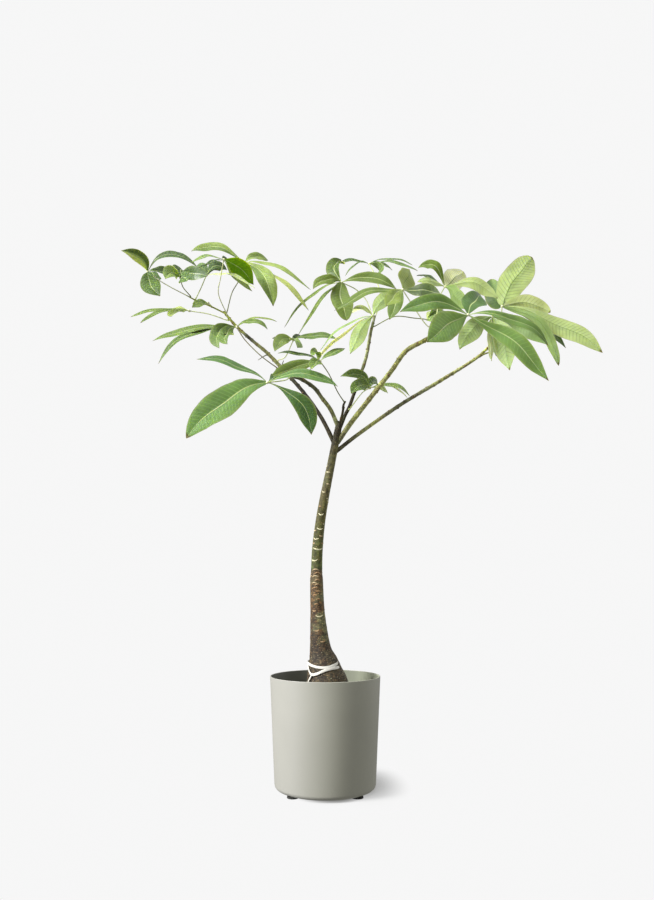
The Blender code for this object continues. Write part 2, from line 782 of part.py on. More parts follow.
# A leaflet: a thin blade whose midrib is an arch from the hub through the middle point to the
# tip. A wide one is folded a little along its midrib; a narrow one is flat across.
def leaflet_mesh(name, hub, leaflet, hub_depth):
    mid_across, mid_up, tip_across, tip_up, tip_depth, width, facing = leaflet
    tip = place(tip_across, tip_up, tip_depth)
    mid_depth = (hub_depth + tip_depth) / 2
    middle = place(mid_across, mid_up, mid_depth)
    bend = 2 * middle - 0.5 * (hub + tip)
    sight = (middle - EYE).normalized()
    side = -1 if tip.x >= hub.x else 1
    face = math.radians(facing)
    columns = (-1, 0, 1) if width >= FOLDED_FROM_WIDTH else (-1, 1)
    fold = BLADE_FOLD if width >= FOLDED_FROM_WIDTH else 0.0
    points = []
    for along, share in BLADE_OUTLINE:
        centre = hub.lerp(bend, along).lerp(bend.lerp(tip, along), along)
        tangent = (bend - hub).lerp(tip - bend, along).normalized()
        toward_eye = -(sight - tangent * sight.dot(tangent)).normalized()
        upward = side * tangent.cross(toward_eye)
        normal = math.sin(face) * toward_eye + math.cos(face) * upward
        across = tangent.cross(normal)
        half = width * CM * seen_scale(mid_depth) * share / 2
        for level in (1, -1):
            for column in columns:
                rise = fold * half * abs(column) + level * BLADE_THICKNESS / 2
                points.append(centre + across * half * column + normal * rise)
    return mesh_from(name, points, blade_faces(len(BLADE_OUTLINE), len(columns)))


# The triangles of a blade: the same split on the upper and the lower face, then the two
# edges and the two ends.
def blade_faces(sections, columns):
    faces = []
    for section in range(sections - 1):
        low = 2 * columns * section
        high = low + 2 * columns
        for level in (0, columns):
            for column in range(level, level + columns - 1):
                faces.append((low + column, low + column + 1, high + column + 1))
                faces.append((low + column, high + column + 1, high + column))
        for column in (0, columns - 1):
            faces.append((low + column, high + column, high + column + columns))
            faces.append((low + column, high + column + columns, low + column + columns))
    for end in (0, 2 * columns * (sections - 1)):
        for column in range(end, end + columns - 1):
            faces.append((column, column + columns + 1, column + 1))
            faces.append((column, column + columns, column + columns + 1))
    return faces


def hub_mesh(name, centre):
    work = bmesh.new()
    bmesh.ops.create_icosphere(work, subdivisions=1, radius=HUB_RADIUS)
    bmesh.ops.translate(work, verts=work.verts, vec=centre)
    mesh = bpy.data.meshes.new(name)
    work.to_mesh(mesh)
    work.free()
    return mesh


def build_leaf(name, leaf):
    hub = place(*leaf["hub"])
    pieces = [
        add_object(f"{name}_hub", hub_mesh(f"{name}_hub", hub)),
        add_object(f"{name}_petiole", petiole_mesh(f"{name}_petiole", leaf)),
    ]
    for number, leaflet in enumerate(leaf["leaflets"], 1):
        blade = leaflet_mesh(f"{name}_blade_{number}", hub, leaflet, leaf["hub"][2])
        pieces.append(add_object(f"{name}_blade_{number}", blade))
    union(name, pieces, leaf_material(name))


def main():
    clear_scene()
    build_pot()
    build_feet()
    build_soil()
    build_trunk_and_branches()
    build_tie()
    for name, leaf in LEAVES.items():
        build_leaf(name, leaf)


main()
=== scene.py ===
import math

import bmesh
import bpy
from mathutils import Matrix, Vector, noise


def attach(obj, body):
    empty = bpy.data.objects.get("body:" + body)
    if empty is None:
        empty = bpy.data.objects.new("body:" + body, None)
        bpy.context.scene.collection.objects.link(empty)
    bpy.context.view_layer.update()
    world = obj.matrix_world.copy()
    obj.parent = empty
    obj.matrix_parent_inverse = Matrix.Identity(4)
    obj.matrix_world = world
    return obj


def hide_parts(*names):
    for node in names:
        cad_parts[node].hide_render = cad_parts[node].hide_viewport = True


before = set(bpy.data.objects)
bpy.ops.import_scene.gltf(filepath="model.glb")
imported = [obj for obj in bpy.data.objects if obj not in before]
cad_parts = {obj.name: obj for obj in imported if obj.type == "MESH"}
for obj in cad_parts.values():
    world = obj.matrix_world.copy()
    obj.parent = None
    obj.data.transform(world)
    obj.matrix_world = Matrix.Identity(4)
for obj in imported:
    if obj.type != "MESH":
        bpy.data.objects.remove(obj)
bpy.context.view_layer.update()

scene = bpy.context.scene
cm = 0.01
print("frame loaded with", len(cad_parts), "nodes")

# The camera, level and in front of the pot, as the photograph was taken
cameraView = {
    "eye": (0.0, -1.8, 0.4915),
    "lens": 29.33,
    "sensor": 36.0,
    "shiftRight": 0.002,
    "shiftUp": 0.1543,
}

cameraData = bpy.data.cameras.new("camera")
cameraData.lens = cameraView["lens"]
cameraData.sensor_width = cameraView["sensor"]
cameraData.shift_x = cameraView["shiftRight"]
cameraData.shift_y = cameraView["shiftUp"]
camera = bpy.data.objects.new("camera", cameraData)
camera.location = cameraView["eye"]
camera.rotation_euler = (math.pi / 2, 0.0, 0.0)
scene.collection.objects.link(camera)
scene.camera = camera


# Places and routes

# How much larger a thing at this depth is than it looks beside the trunk
def seenScale(depth):
    return 1.0 - depth * cm / cameraView["eye"][1]


# A place given in centimetres as the camera sees it, turned into its real position
def place(across, up, depth):
    scale = seenScale(depth)
    level = cameraView["eye"][2]
    return Vector((across * cm * scale, depth * cm, level + (up * cm - level) * scale))


# A smooth curve through the points, with a radius or any other value carried along
def smoothRoute(points, spans):
    ends = [2 * points[0] - points[1]] + list(points) + [2 * points[-1] - points[-2]]
    route = []
    for index in range(len(points) - 1):
        p0, p1, p2, p3 = ends[index:index + 4]
        for step in range(spans):
            t = step / spans
            route.append(0.5 * (
                2 * p1 + (p2 - p0) * t
                + (2 * p0 - 5 * p1 + 4 * p2 - p3) * t ** 2
                + (3 * p1 - p0 - 3 * p2 + p3) * t ** 3
            ))
    route.append(points[-1].copy())
    return route


# A stem's stations, each a place with the stem's radius as its fourth value
def stemStations(table, spans):
    points = [Vector((*place(*row[:3]), row[3] * cm)) for row in table]
    return smoothRoute(points, spans)


# How far along a stem each of its stations lies
def stationSteps(stations):
    steps = [0.0]
    for before, after in zip(stations, stations[1:]):
        steps.append(steps[-1] + (after.to_3d() - before.to_3d()).length)
    return steps


# The station at one mark along a stem, and the way that the stem runs there
def stationAt(stations, marks, mark):
    for index in range(len(stations) - 1):
        if marks[index] <= mark <= marks[index + 1]:
            before, after = stations[index:index + 2]
            share = (mark - marks[index]) / (marks[index + 1] - marks[index])
            return before.lerp(after, share), (after - before).to_3d().normalized()
    return stations[-1].copy(), Vector((0.0, 0.0, 1.0))


# A table's other columns, read at one value of its first
def tableAt(table, value):
    for low, high in zip(table, table[1:]):
        if value <= high[0]:
            share = max(0.0, (value - low[0]) / (high[0] - low[0]))
            return [first + (last - first) * share for first, last in zip(low[1:], high[1:])]
    return table[-1][1:]


# Nodes

# A value in a node tree: plain maths on it adds the nodes that work it out
class Signal:
    def __init__(self, tree, socket):
        self.tree = tree
        self.socket = socket

    def out(self, name):
        return Signal(self.tree, self.socket.node.outputs[name])

    def maths(self, operation, other=0.0):
        return addNode(self.tree, "ShaderNodeMath", {0: self, 1: other}, operation=operation)

    def __add__(self, other):
        return self.maths("ADD", other)

    def __sub__(self, other):
        return self.maths("SUBTRACT", other)

    def __rsub__(self, other):
        return addNode(self.tree, "ShaderNodeMath", {0: other, 1: self}, operation="SUBTRACT")

    def __mul__(self, other):
        return self.maths("MULTIPLY", other)

    def __rtruediv__(self, other):
        return addNode(self.tree, "ShaderNodeMath", {0: other, 1: self}, operation="DIVIDE")

    def __pow__(self, other):
        return self.maths("POWER", other)

    def __abs__(self):
        return self.maths("ABSOLUTE")

    def ranged(self, fromLow, fromHigh, toLow=0.0, toHigh=1.0):
        wires = {0: self, 1: fromLow, 2: fromHigh, 3: toLow, 4: toHigh}
        return addNode(self.tree, "ShaderNodeMapRange", wires)

    # A colour between two others, with this value as its share of the second
    def between(self, first, second):
        wires = {0: self, 6: first, 7: second}
        return addNode(self.tree, "ShaderNodeMix", wires, data_type="RGBA").out(2)

    def tinted(self, tint):
        wires = {0: 1.0, 6: self, 7: tint}
        kind = {"data_type": "RGBA", "blend_type": "MULTIPLY"}
        return addNode(self.tree, "ShaderNodeMix", wires, **kind).out(2)

    def ramp(self, stops):
        made = addNode(self.tree, "ShaderNodeValToRGB", {0: self})
        elements = made.socket.node.color_ramp.elements
        while len(elements) > 1:
            elements.remove(elements[0])
        for index, (position, colour) in enumerate(stops):
            element = elements.new(position) if index else elements[0]
            element.position = position
            element.color = colour
        return made

    def bump(self, strength, distance):
        wires = {"Height": self, "Strength": strength, "Distance": distance}
        return addNode(self.tree, "ShaderNodeBump", wires)


# Adds a node with its inputs wired or set, and gives its first output
def addNode(tree, kind, wires=None, **settings):
    made = tree.nodes.new(kind)
    for key, value in settings.items():
        setattr(made, key, value)
    for name, value in (wires or {}).items():
        if isinstance(value, Signal):
            tree.links.new(value.socket, made.inputs[name])
        else:
            made.inputs[name].default_value = value
    return Signal(tree, made.outputs[0])


def addSocket(tree, label, way, kind):
    tree.interface.new_socket(label, in_out=way, socket_type="NodeSocket" + kind)


def groupInputs(tree):
    return {port.name: Signal(tree, port) for port in tree.nodes.new("NodeGroupInput").outputs}


def noiseAt(where, scale, detail):
    wires = {"Vector": where, "Scale": scale, "Detail": detail}
    return addNode(where.tree, "ShaderNodeTexNoise", wires)


# Geometry nodes

def newTree(name, inputs):
    tree = bpy.data.node_groups.new(name, "GeometryNodeTree")
    addSocket(tree, "Geometry", "INPUT", "Geometry")
    for label, kind in inputs.items():
        addSocket(tree, label, "INPUT", kind)
    addSocket(tree, "Geometry", "OUTPUT", "Geometry")
    return tree, groupInputs(tree)


def readValue(tree, name, kind="FLOAT"):
    return addNode(tree, "GeometryNodeInputNamedAttribute", {"Name": name}, data_type=kind)


def storeValue(geometry, name, value, **settings):
    wires = {"Geometry": geometry, "Name": name, "Value": value}
    return addNode(geometry.tree, "GeometryNodeStoreNamedAttribute", wires, **settings)


def scaled(vector, factor):
    wires = {0: vector, "Scale": factor}
    return addNode(vector.tree, "ShaderNodeVectorMath", wires, operation="SCALE")


def moved(geometry, offset):
    wires = {"Geometry": geometry, "Offset": offset}
    return addNode(geometry.tree, "GeometryNodeSetPosition", wires)


def axisOf(vector, axis):
    return addNode(vector.tree, "ShaderNodeSeparateXYZ", {0: vector}).out(axis)


# A random vector for each point or copy, between two corners
def randomVector(tree, low, high, seed=0):
    wires = {"Min": low, "Max": high, "Seed": seed}
    return addNode(tree, "FunctionNodeRandomValue", wires, data_type="FLOAT_VECTOR")


def scattered(surface, wires):
    wires = {"Mesh": surface, **wires}
    kind = "GeometryNodeDistributePointsOnFaces"
    return addNode(surface.tree, kind, wires, distribute_method="POISSON")


def copied(spots, thing, turn, size):
    wires = {"Points": spots, "Instance": thing, "Rotation": turn, "Scale": size}
    return addNode(spots.tree, "GeometryNodeInstanceOnPoints", wires)


# Every tree ends the same way: real faces, shaded smooth, with their finish
def closeTree(geometry, finish, otherFinish=None, otherWhere=None):
    tree = geometry.tree
    smooth = addNode(tree, "GeometryNodeSetShadeSmooth", {"Geometry": geometry})
    real = addNode(tree, "GeometryNodeRealizeInstances", {"Geometry": smooth})
    wires = {"Geometry": real, "Material": finish}
    finished = addNode(tree, "GeometryNodeSetMaterial", wires)
    if otherFinish:
        wires = {"Geometry": finished, "Selection": otherWhere, "Material": otherFinish}
        finished = addNode(tree, "GeometryNodeSetMaterial", wires)
    tree.links.new(finished.socket, tree.nodes.new("NodeGroupOutput").inputs[0])
    return tree


# Meshes

# Chains of edges whose points carry named values, for a node tree to read
def chainMesh(name, chains):
    mesh = bpy.data.meshes.new(name)
    rows = [row for chain in chains for row in chain]
    edges = []
    start = 0
    for chain in chains:
        edges += [(start + index, start + index + 1) for index in range(len(chain) - 1)]
        start += len(chain)
    mesh.from_pydata([row["at"] for row in rows], edges, [])
    for key, sample in rows[0].items():
        if key == "at":
            continue
        isVector = isinstance(sample, Vector)
        attribute = mesh.attributes.new(key, "FLOAT_VECTOR" if isVector else "FLOAT", "POINT")
        for item, row in zip(attribute.data, rows):
            setattr(item, "vector" if isVector else "value", row[key])
    return mesh


# Runs a node tree on a mesh and gives the result as a plain mesh
def grow(mesh, tree, **values):
    host = bpy.data.objects.new(mesh.name, mesh)
    scene.collection.objects.link(host)
    modifier = host.modifiers.new("grow", "NODES")
    modifier.node_group = tree
    for socket in tree.interface.items_tree:
        if socket.in_out == "INPUT" and socket.name in values:
            modifier[socket.identifier] = values[socket.name]
    evaluated = host.evaluated_get(bpy.context.evaluated_depsgraph_get())
    result = bpy.data.meshes.new_from_object(evaluated)
    bpy.data.objects.remove(host)
    return result


# Puts several meshes into one, each keeping its own finish
def joined(name, meshes):
    whole = bpy.data.meshes.new(name)
    work = bmesh.new()
    for mesh in meshes:
        before = len(work.faces)
        work.from_mesh(mesh)
        work.faces.ensure_lookup_table()
        slots = []
        for finish in mesh.materials:
            if finish and finish.name not in whole.materials:
                whole.materials.append(finish)
            slots.append(whole.materials.find(finish.name) if finish else 0)
        for face in work.faces[before:]:
            face.material_index = slots[face.material_index]
    work.to_mesh(whole)
    work.free()
    return whole


# A smooth mesh whose faces all point outwards
def outwardMesh(name, points, faces, *finishes):
    mesh = bpy.data.meshes.new(name)
    mesh.from_pydata(points, [], faces)
    work = bmesh.new()
    work.from_mesh(mesh)
    bmesh.ops.recalc_face_normals(work, faces=work.faces)
    work.to_mesh(mesh)
    work.free()
    mesh.shade_smooth()
    for finish in finishes:
        mesh.materials.append(finish)
    return mesh


# A finished piece: it rides on the plant's one body and stands for its CAD node
def finishPiece(name, mesh, node, sharpAngle=60):
    mesh.set_sharp_from_angle(angle=math.radians(sharpAngle))
    piece = bpy.data.objects.new(name, mesh)
    scene.collection.objects.link(piece)
    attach(piece, "root")
    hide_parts(node)
    return piece


# Materials

def rgb(red, green, blue):
    return tuple((value / 255) ** 2.2 for value in (red, green, blue)) + (1.0,)


def newMaterial(name, constants):
    made = bpy.data.materials.new(name)
    made.use_nodes = True
    for key, value in constants.items():
        made.node_tree.nodes["Principled BSDF"].inputs[key].default_value = value
    return made, made.node_tree


def dressed(made, base, normal=None, rough=None):
    shader = made.node_tree.nodes["Principled BSDF"]
    for name, value in (("Base Color", base), ("Roughness", rough), ("Normal", normal)):
        if value:
            made.node_tree.links.new(value.socket, shader.inputs[name])
    return made


def attributeValue(tree, name):
    return addNode(tree, "ShaderNodeAttribute", attribute_name=name).out("Fac")


def objectPlace(tree, stretch=None):
    where = addNode(tree, "ShaderNodeTexCoord").out("Object")
    if stretch:
        where = addNode(tree, "ShaderNodeMapping", {"Vector": where, "Scale": stretch})
    return where


def noiseValue(tree, scale, detail=3.0, stretch=None):
    return noiseAt(objectPlace(tree, stretch), scale, detail)


# Noise spread from one value to another; a smaller spread gives harder patches
def mottle(tree, scale, detail, low, high, spread=0.2, stretch=None):
    cloud = noiseValue(tree, scale, detail, stretch)
    return cloud.ranged(0.5 - spread, 0.5 + spread, low, high)


veinPlan = {
    "midribTaper": (1.15, 0.35),  # its width at the blade's foot and tip
    "bladeSizes": (0.012, 0.034),  # half widths of a small and a large blade
    "midribBySize": (0.62, 1.05),
    "midribShowing": (0.45, 1.0),
    "midribCore": 0.35,
    "veinCore": 0.25,
    "veinsFade": (0.55, 1.0),  # toward the margin
    "veinsAtMargin": 0.25,
    "veinsFromSize": (0.013, 0.024),
    "driedFrom": (0.985, 1.01),
    "driedWander": 0.05,
    "driedGrain": 45.0,
    "driedShare": 0.9,
}


# The veins of a blade as masks, for the upper side and the underside alike
def makeVeinGroup():
    plan = veinPlan
    tree = bpy.data.node_groups.new("leaf veins", "ShaderNodeTree")
    for label in ("Midrib Width", "Vein Width"):
        addSocket(tree, label, "INPUT", "Float")
    for label in ("Midrib", "Veins", "Dried"):
        addSocket(tree, label, "OUTPUT", "Float")
    given = groupInputs(tree)
    half = attributeValue(tree, "halfWidth")
    along = attributeValue(tree, "along")
    side = abs(attributeValue(tree, "side"))
    narrow = given["Midrib Width"] * along.ranged(0, 1, *plan["midribTaper"])
    narrow = narrow * half.ranged(*plan["bladeSizes"], *plan["midribBySize"])
    showing = half.ranged(*plan["bladeSizes"], *plan["midribShowing"])
    midrib = (side * half).ranged(narrow, narrow * plan["midribCore"], 0.0, showing)
    wave = abs((attributeValue(tree, "veinPhase") * math.pi).maths("SINE"))
    veins = wave.ranged(given["Vein Width"], given["Vein Width"] * plan["veinCore"])
    veins = veins * side.ranged(*plan["veinsFade"], 1.0, plan["veinsAtMargin"])
    veins = veins * half.ranged(*plan["veinsFromSize"])
    wander = noiseValue(tree, plan["driedGrain"]) * plan["driedWander"]
    dried = (along + wander).ranged(*plan["driedFrom"], 0.0, plan["driedShare"])
    made = tree.nodes.new("NodeGroupOutput")
    for label, value in (("Midrib", midrib), ("Veins", veins), ("Dried", dried)):
        tree.links.new(value.socket, made.inputs[label])
    return tree


veinGroup = makeVeinGroup()

bladeSides = {
    "upper": {
        "tones": [
            (0.0, rgb(52, 68, 40)),
            (0.2, rgb(86, 111, 62)),
            (0.4, rgb(119, 144, 80)),
            (0.6, rgb(150, 174, 100)),
            (0.8, rgb(190, 208, 124)),
            (0.95, rgb(234, 242, 168)),
            (0.96, rgb(82, 110, 2)),  # from here the green of a blade with light behind it
            (1.0, rgb(116, 164, 2)),
        ],
        "mottle": (22.0, 4.0, 0.84, 1.14),
        "midribWidth": 0.0020,
        "midribColour": rgb(224, 234, 168),
        "midribShare": 0.9,
        "veinWidth": 0.36,
        "veinTint": (0.93, 1.36),  # between the veins and on them
        "veinRise": -1.0,
        "roughness": (30.0, 2.0, 0.36, 0.62, 0.15),
        "skin": 300.0,
        "skinRise": 0.15,
        "bump": 0.24,
    },
    "under": {
        # The palest undersides are partly painted light: the glow of light shining through the
        # blade
        "tones": [
            (0.0, rgb(70, 92, 46)),
            (0.3, rgb(120, 142, 84)),
            (0.6, rgb(170, 187, 123)),
            (0.8, rgb(210, 219, 157)),
            (1.0, rgb(242, 250, 196)),
        ],
        "mottle": (26.0, 4.0, 0.88, 1.1),
        "midribWidth": 0.0019,
        "midribColour": rgb(100, 126, 44),
        "midribShare": 0.85,
        "veinWidth": 0.42,
        "veinTint": (1.07, 0.63),
        "veinRise": 1.0,
        "roughness": (80.0, 3.0, 0.48, 0.62),
        "skin": 420.0,
        "skinRise": 0.25,
        "bump": 0.22,
    },
}

# What both sides of a blade share, and what light passing through them does
bladeLook = {
    "warmth": [
        (0.0, (0.80, 1.0, 1.06, 1.0)),
        (0.5, (1.0, 1.0, 1.0, 1.0)),
        (1.0, (1.14, 1.0, 0.55, 1.0)),
    ],
    "midribZone": 0.3,  # over which one half turns into the other, as a share
    "driedTip": rgb(92, 76, 52),
    "bumpDistance": 0.0004,
    "body": {
        "Subsurface Weight": 0.7,
        "Subsurface Radius": (1.0, 1.0, 0.35),
        "Subsurface Scale": 0.0025,
        "Specular IOR Level": 0.2,
    },
}


def makeBladeMaterial(name, look):
    made, tree = newMaterial(name, bladeLook["body"])
    zone = bladeLook["midribZone"]
    # Painted light on one half of the blade and painted shade on the other, added to the tone
    half = attributeValue(tree, "side").ranged(-zone, zone, -1.0, 1.0)
    tone = attributeValue(tree, "tone") + attributeValue(tree, "paintedHalfLight") * half
    base = tone.ramp(look["tones"])
    base = base.tinted(attributeValue(tree, "warmth").ramp(bladeLook["warmth"]))
    base = base.tinted(mottle(tree, *look["mottle"]))
    wires = {"Midrib Width": look["midribWidth"], "Vein Width": look["veinWidth"]}
    midrib = addNode(tree, "ShaderNodeGroup", wires, node_tree=veinGroup)
    veins = midrib.out("Veins")
    base = base.tinted(veins.ranged(0.0, 1.0, *look["veinTint"]))
    base = (midrib * look["midribShare"]).between(base, look["midribColour"])
    base = midrib.out("Dried").between(base, bladeLook["driedTip"])
    height = noiseValue(tree, look["skin"], 2.0) * look["skinRise"] + veins * look["veinRise"]
    normal = height.bump(look["bump"], bladeLook["bumpDistance"])
    return dressed(made, base, normal, mottle(tree, *look["roughness"]))


# Materials whose colour follows one noise and whose relief follows a finer one
plainLooks = {
    "petiole": {
        "byTone": True,
        "body": {
            "Roughness": 0.5,
            "Subsurface Weight": 0.5,
            "Subsurface Radius": (1.0, 1.0, 0.5),
            "Subsurface Scale": 0.002,
        },
        "colours": [
            (0.0, rgb(104, 92, 62)),
            (0.3, rgb(134, 140, 88)),
            (0.6, rgb(196, 210, 122)),
            # Near white at the top: partly the pale stalk's own colour, partly painted light on
            # the stalks
            (1.0, rgb(255, 255, 220)),
        ],
        "cloud": (60.0, 3.0, -0.12, 0.12),
        "grain": (900.0, 2.0),
        "bump": (0.2, 0.0002),
    },
    "scar": {
        "byTone": True,
        "body": {"Roughness": 0.7},
        "colours": [(0.0, rgb(108, 74, 50)), (0.5, rgb(168, 132, 92)), (1.0, rgb(228, 223, 182))],
        "cloud": (200.0, 3.0, -0.15, 0.15),
    },
    "foot": {
        "body": {"Roughness": 0.8},
        "colours": [(0.0, rgb(38, 38, 36)), (1.0, rgb(54, 53, 50))],
        "cloud": (300.0, 3.0),
        "grain": (1200.0, 3.0),
        "bump": (0.3, 0.0003),
    },
    "soil": {
        "body": {"Roughness": 0.95},
        "colours": [(0.3, rgb(38, 30, 24)), (0.5, rgb(62, 50, 40)), (0.72, rgb(104, 86, 68))],
        "cloud": (160.0, 6.0),
        "grain": (350.0, 6.0),
        "bump": (0.9, 0.002),
    },
    "chip": {
        "body": {"Roughness": 0.9},
        "colours": [(0.35, rgb(62, 46, 34)), (0.55, rgb(104, 78, 56)), (0.7, rgb(136, 108, 80))],
        "cloud": (60.0, 2.0),
        "grain": (500.0, 4.0),
        "bump": (0.8, 0.001),
    },
    "tie": {
        "body": {"Roughness": 0.55},
        "colours": [(0.0, rgb(232, 230, 222)), (1.0, rgb(212, 208, 194))],
        "cloud": (120.0, 4.0),
        "grain": (700.0, 2.0, (1.0, 1.0, 0.25)),
        "bump": (0.4, 0.0004),
    },
}


def makePlainMaterial(name, look):
    made, tree = newMaterial(name, look["body"])
    if look.get("byTone"):
        share = attributeValue(tree, "tone") + mottle(tree, *look["cloud"])
    else:
        share = noiseValue(tree, *look["cloud"])
    normal = noiseValue(tree, *look["grain"]).bump(*look["bump"]) if "grain" in look else None
    return dressed(made, share.ramp(look["colours"]), normal)


barkLook = {
    # By age along the stem: 0 the rough foot, 0.25 tan, 0.44 to 0.6 the green band, 0.68 the
    # dark forks, partly the bark's own dark and partly painted shade where the branches meet,
    # 0.76 to 0.84 brown olive, 0.92 yellow olive, 1 the young green ends
    "ages": [
        (0.0, rgb(78, 69, 55)),
        (0.12, rgb(80, 68, 51)),
        (0.25, rgb(100, 82, 59)),
        (0.36, rgb(107, 91, 64)),
        (0.40, rgb(98, 93, 61)),
        (0.44, rgb(87, 102, 58)),
        (0.50, rgb(110, 110, 62)),
        (0.55, rgb(117, 113, 69)),
        (0.60, rgb(120, 118, 80)),
        (0.68, rgb(62, 53, 39)),
        (0.76, rgb(126, 129, 97)),
        (0.84, rgb(160, 164, 121)),
        (0.92, rgb(183, 187, 118)),
        (1.0, rgb(200, 216, 88)),
    ],
    "wander": (90.0, 4.0, -0.03, 0.03),
    "blotches": (150.0, 5.0, 0.58, 1.4, 0.15, (1.0, 1.0, 0.7)),
    "patches": [(0.38, (0.82, 0.74, 0.70, 1.0)), (0.62, (1.16, 1.18, 1.08, 1.0))],
    "patchNoise": (70.0, 3.0, (1.0, 1.0, 0.6)),
    "oldUntil": (0.30, 0.42),
    "youngFrom": (0.64, 0.70),
    "moss": rgb(122, 126, 90),
    "mossGrain": 38.0,
    "mossFrom": (0.52, 0.64),  # of the noise and the shade added up
    "mossShare": 0.7,
    "mossAges": (0.06, 0.13),
    "mossAtFoot": 0.15,
    "shadeAcross": (-0.03, 0.012),
    "shade": (-0.06, 0.18),
    # Painted shade on the left of the trunk and branches, and painted light on their right
    "trunkLean": (0.59, 0.89, -0.019, 0.033),  # from these heights to these places across
    "trunkHalf": 0.012,
    "paintedShadeSide": 0.90,
    "paintedLightAges": (0.03, 0.2),
    "trunkPaintedLight": 1.42,
    "branchAcross": (-0.035, 0.012),
    "branchPaintedLight": 1.20,
    # How small flecks tint the bark: a few dark, most near it, some tan or pale
    "flecks": [
        (0.0, (0.10, 0.09, 0.08, 1.0)),
        (0.28, (0.30, 0.28, 0.25, 1.0)),
        (0.45, (1.0, 1.0, 1.0, 1.0)),
        (0.62, (1.1, 1.05, 1.0, 1.0)),
        (0.72, (2.3, 1.75, 1.35, 1.0)),
        (0.88, (3.0, 2.5, 2.0, 1.0)),
        (1.0, (4.4, 4.0, 3.2, 1.0)),
    ],
    "fleckScale": 190.0,
    "fleckStretch": (1.0, 1.0, 1.7),
    "fleckEdge": (0.35, 0.6),
    "fleckShare": (0.62, 0.16),  # on the old bark and on the young
    "crack": rgb(44, 38, 30),
    "crackNoise": (95.0, 4.0, (1.0, 1.0, 3.2)),
    "crackFrom": (0.36, 0.46),
    "crackShare": 0.75,
    "crackAges": (0.05, 0.22),
    "cracksAbove": 0.25,
    "grain": (240.0, 5.0),
    "bump": (0.7, 0.0012),
}


def makeBarkMaterial():
    look = barkLook
    made, tree = newMaterial("barkOliveBrown", {"Roughness": 0.75, "Diffuse Roughness": 1.0})
    across = axisOf(objectPlace(tree), "X")
    height = axisOf(objectPlace(tree), "Z")
    age = attributeValue(tree, "age")
    base = (age + mottle(tree, *look["wander"])).ramp(look["ages"])
    base = base.tinted(mottle(tree, *look["blotches"]))
    base = base.tinted(noiseValue(tree, *look["patchNoise"]).ramp(look["patches"]))

    shady = across.ranged(*look["shadeAcross"], *look["shade"])
    moss = noiseValue(tree, look["mossGrain"]) + shady
    moss = moss.ranged(*look["mossFrom"], 0.0, look["mossShare"])
    moss = moss * age.ranged(*look["oldUntil"], 1.0, 0.0)
    moss = moss * age.ranged(*look["mossAges"], look["mossAtFoot"], 1.0)
    base = moss.between(base, look["moss"])

    # Painted shade on the left and painted light on the right, round the trunk and over the
    # branches
    paintedLight = age.ranged(*look["paintedLightAges"], 1.0, look["trunkPaintedLight"])
    side = across - height.ranged(*look["trunkLean"])
    trunk = side.ranged(-look["trunkHalf"], look["trunkHalf"], look["paintedShadeSide"], paintedLight)
    branch = across.ranged(*look["branchAcross"], look["paintedShadeSide"], look["branchPaintedLight"])
    base = base.tinted(trunk + age.ranged(*look["youngFrom"]) * (branch - trunk))

    wires = {"Vector": objectPlace(tree, look["fleckStretch"]), "Scale": look["fleckScale"]}
    cells = addNode(tree, "ShaderNodeTexVoronoi", wires)
    tint = addNode(tree, "ShaderNodeSeparateColor", {0: cells.out("Color")})
    share = cells.out("Distance").ranged(*look["fleckEdge"], 1.0, 0.0)
    share = share * age.ranged(*look["oldUntil"], *look["fleckShare"])
    base = share.between(base, base.tinted(tint.ramp(look["flecks"])))

    cracks = noiseValue(tree, *look["crackNoise"])
    cracks = cracks.ranged(*look["crackFrom"], look["crackShare"], 0.0)
    cracks = cracks * age.ranged(*look["crackAges"], 1.0, look["cracksAbove"])
    base = cracks.between(base, look["crack"])
    return dressed(made, base, (noiseValue(tree, *look["grain"]) - cracks).bump(*look["bump"]))


potLook = {
    "outside": rgb(161, 160, 152),
    # The inside's colour is darker than the outside's: painted shade in the pot's hollow
    "inside": rgb(125, 128, 116),
    # Painted shade at the inside's left end and painted light at its right end
    "insidePaintedShadeAndLight": (0.55, 1.5),  # at the left end and at the right end
    "paintedShadeSpan": (-0.09, 0.03),
    "paintedLightSpan": (0.075, 0.115),
    "cloud": (9.0, 3.0, 0.97, 1.03),
    # Painted shade: the right side, away from the key light, tinted darker and yellower
    "shadedSideAcross": (-0.07, 0.04),
    "shadedSideTint": (0.945, 0.955, 0.86, 1.0),
    "roughness": (140.0, 3.0, 0.46, 0.54),
    "grain": 900.0,
    "bump": (0.12, 0.0003),
}


def makePotMaterial(name, colour, paintedShadeShare=1.0, paintedLightShare=1.0):
    look = potLook
    made, tree = newMaterial(name, {})
    across = axisOf(objectPlace(tree), "X")
    cloud = mottle(tree, *look["cloud"])
    # Painted shade toward the left and painted light toward the right, by these shares
    cloud = cloud * across.ranged(*look["paintedShadeSpan"], paintedShadeShare, 1.0)
    cloud = cloud * across.ranged(*look["paintedLightSpan"], 1.0, paintedLightShare)
    # Painted shade tint on the right side, which the key light leaves in shade
    shadedSideTint = across.ranged(*look["shadedSideAcross"]).between((1.0, 1.0, 1.0, 1.0), look["shadedSideTint"])
    normal = noiseValue(tree, look["grain"]).bump(*look["bump"])
    rough = mottle(tree, *look["roughness"])
    return dressed(made, cloud.tinted(colour).tinted(shadedSideTint), normal, rough)


upperMaterial = makeBladeMaterial("leafUpperGreen", bladeSides["upper"])
underMaterial = makeBladeMaterial("leafUnderPale", bladeSides["under"])
stalkMaterial = makePlainMaterial("petioleGreen", plainLooks["petiole"])
barkMaterial = makeBarkMaterial()
scarMaterial = makePlainMaterial("leafScarCream", plainLooks["scar"])
potMaterial = makePotMaterial("potGreyGreenMatte", potLook["outside"])
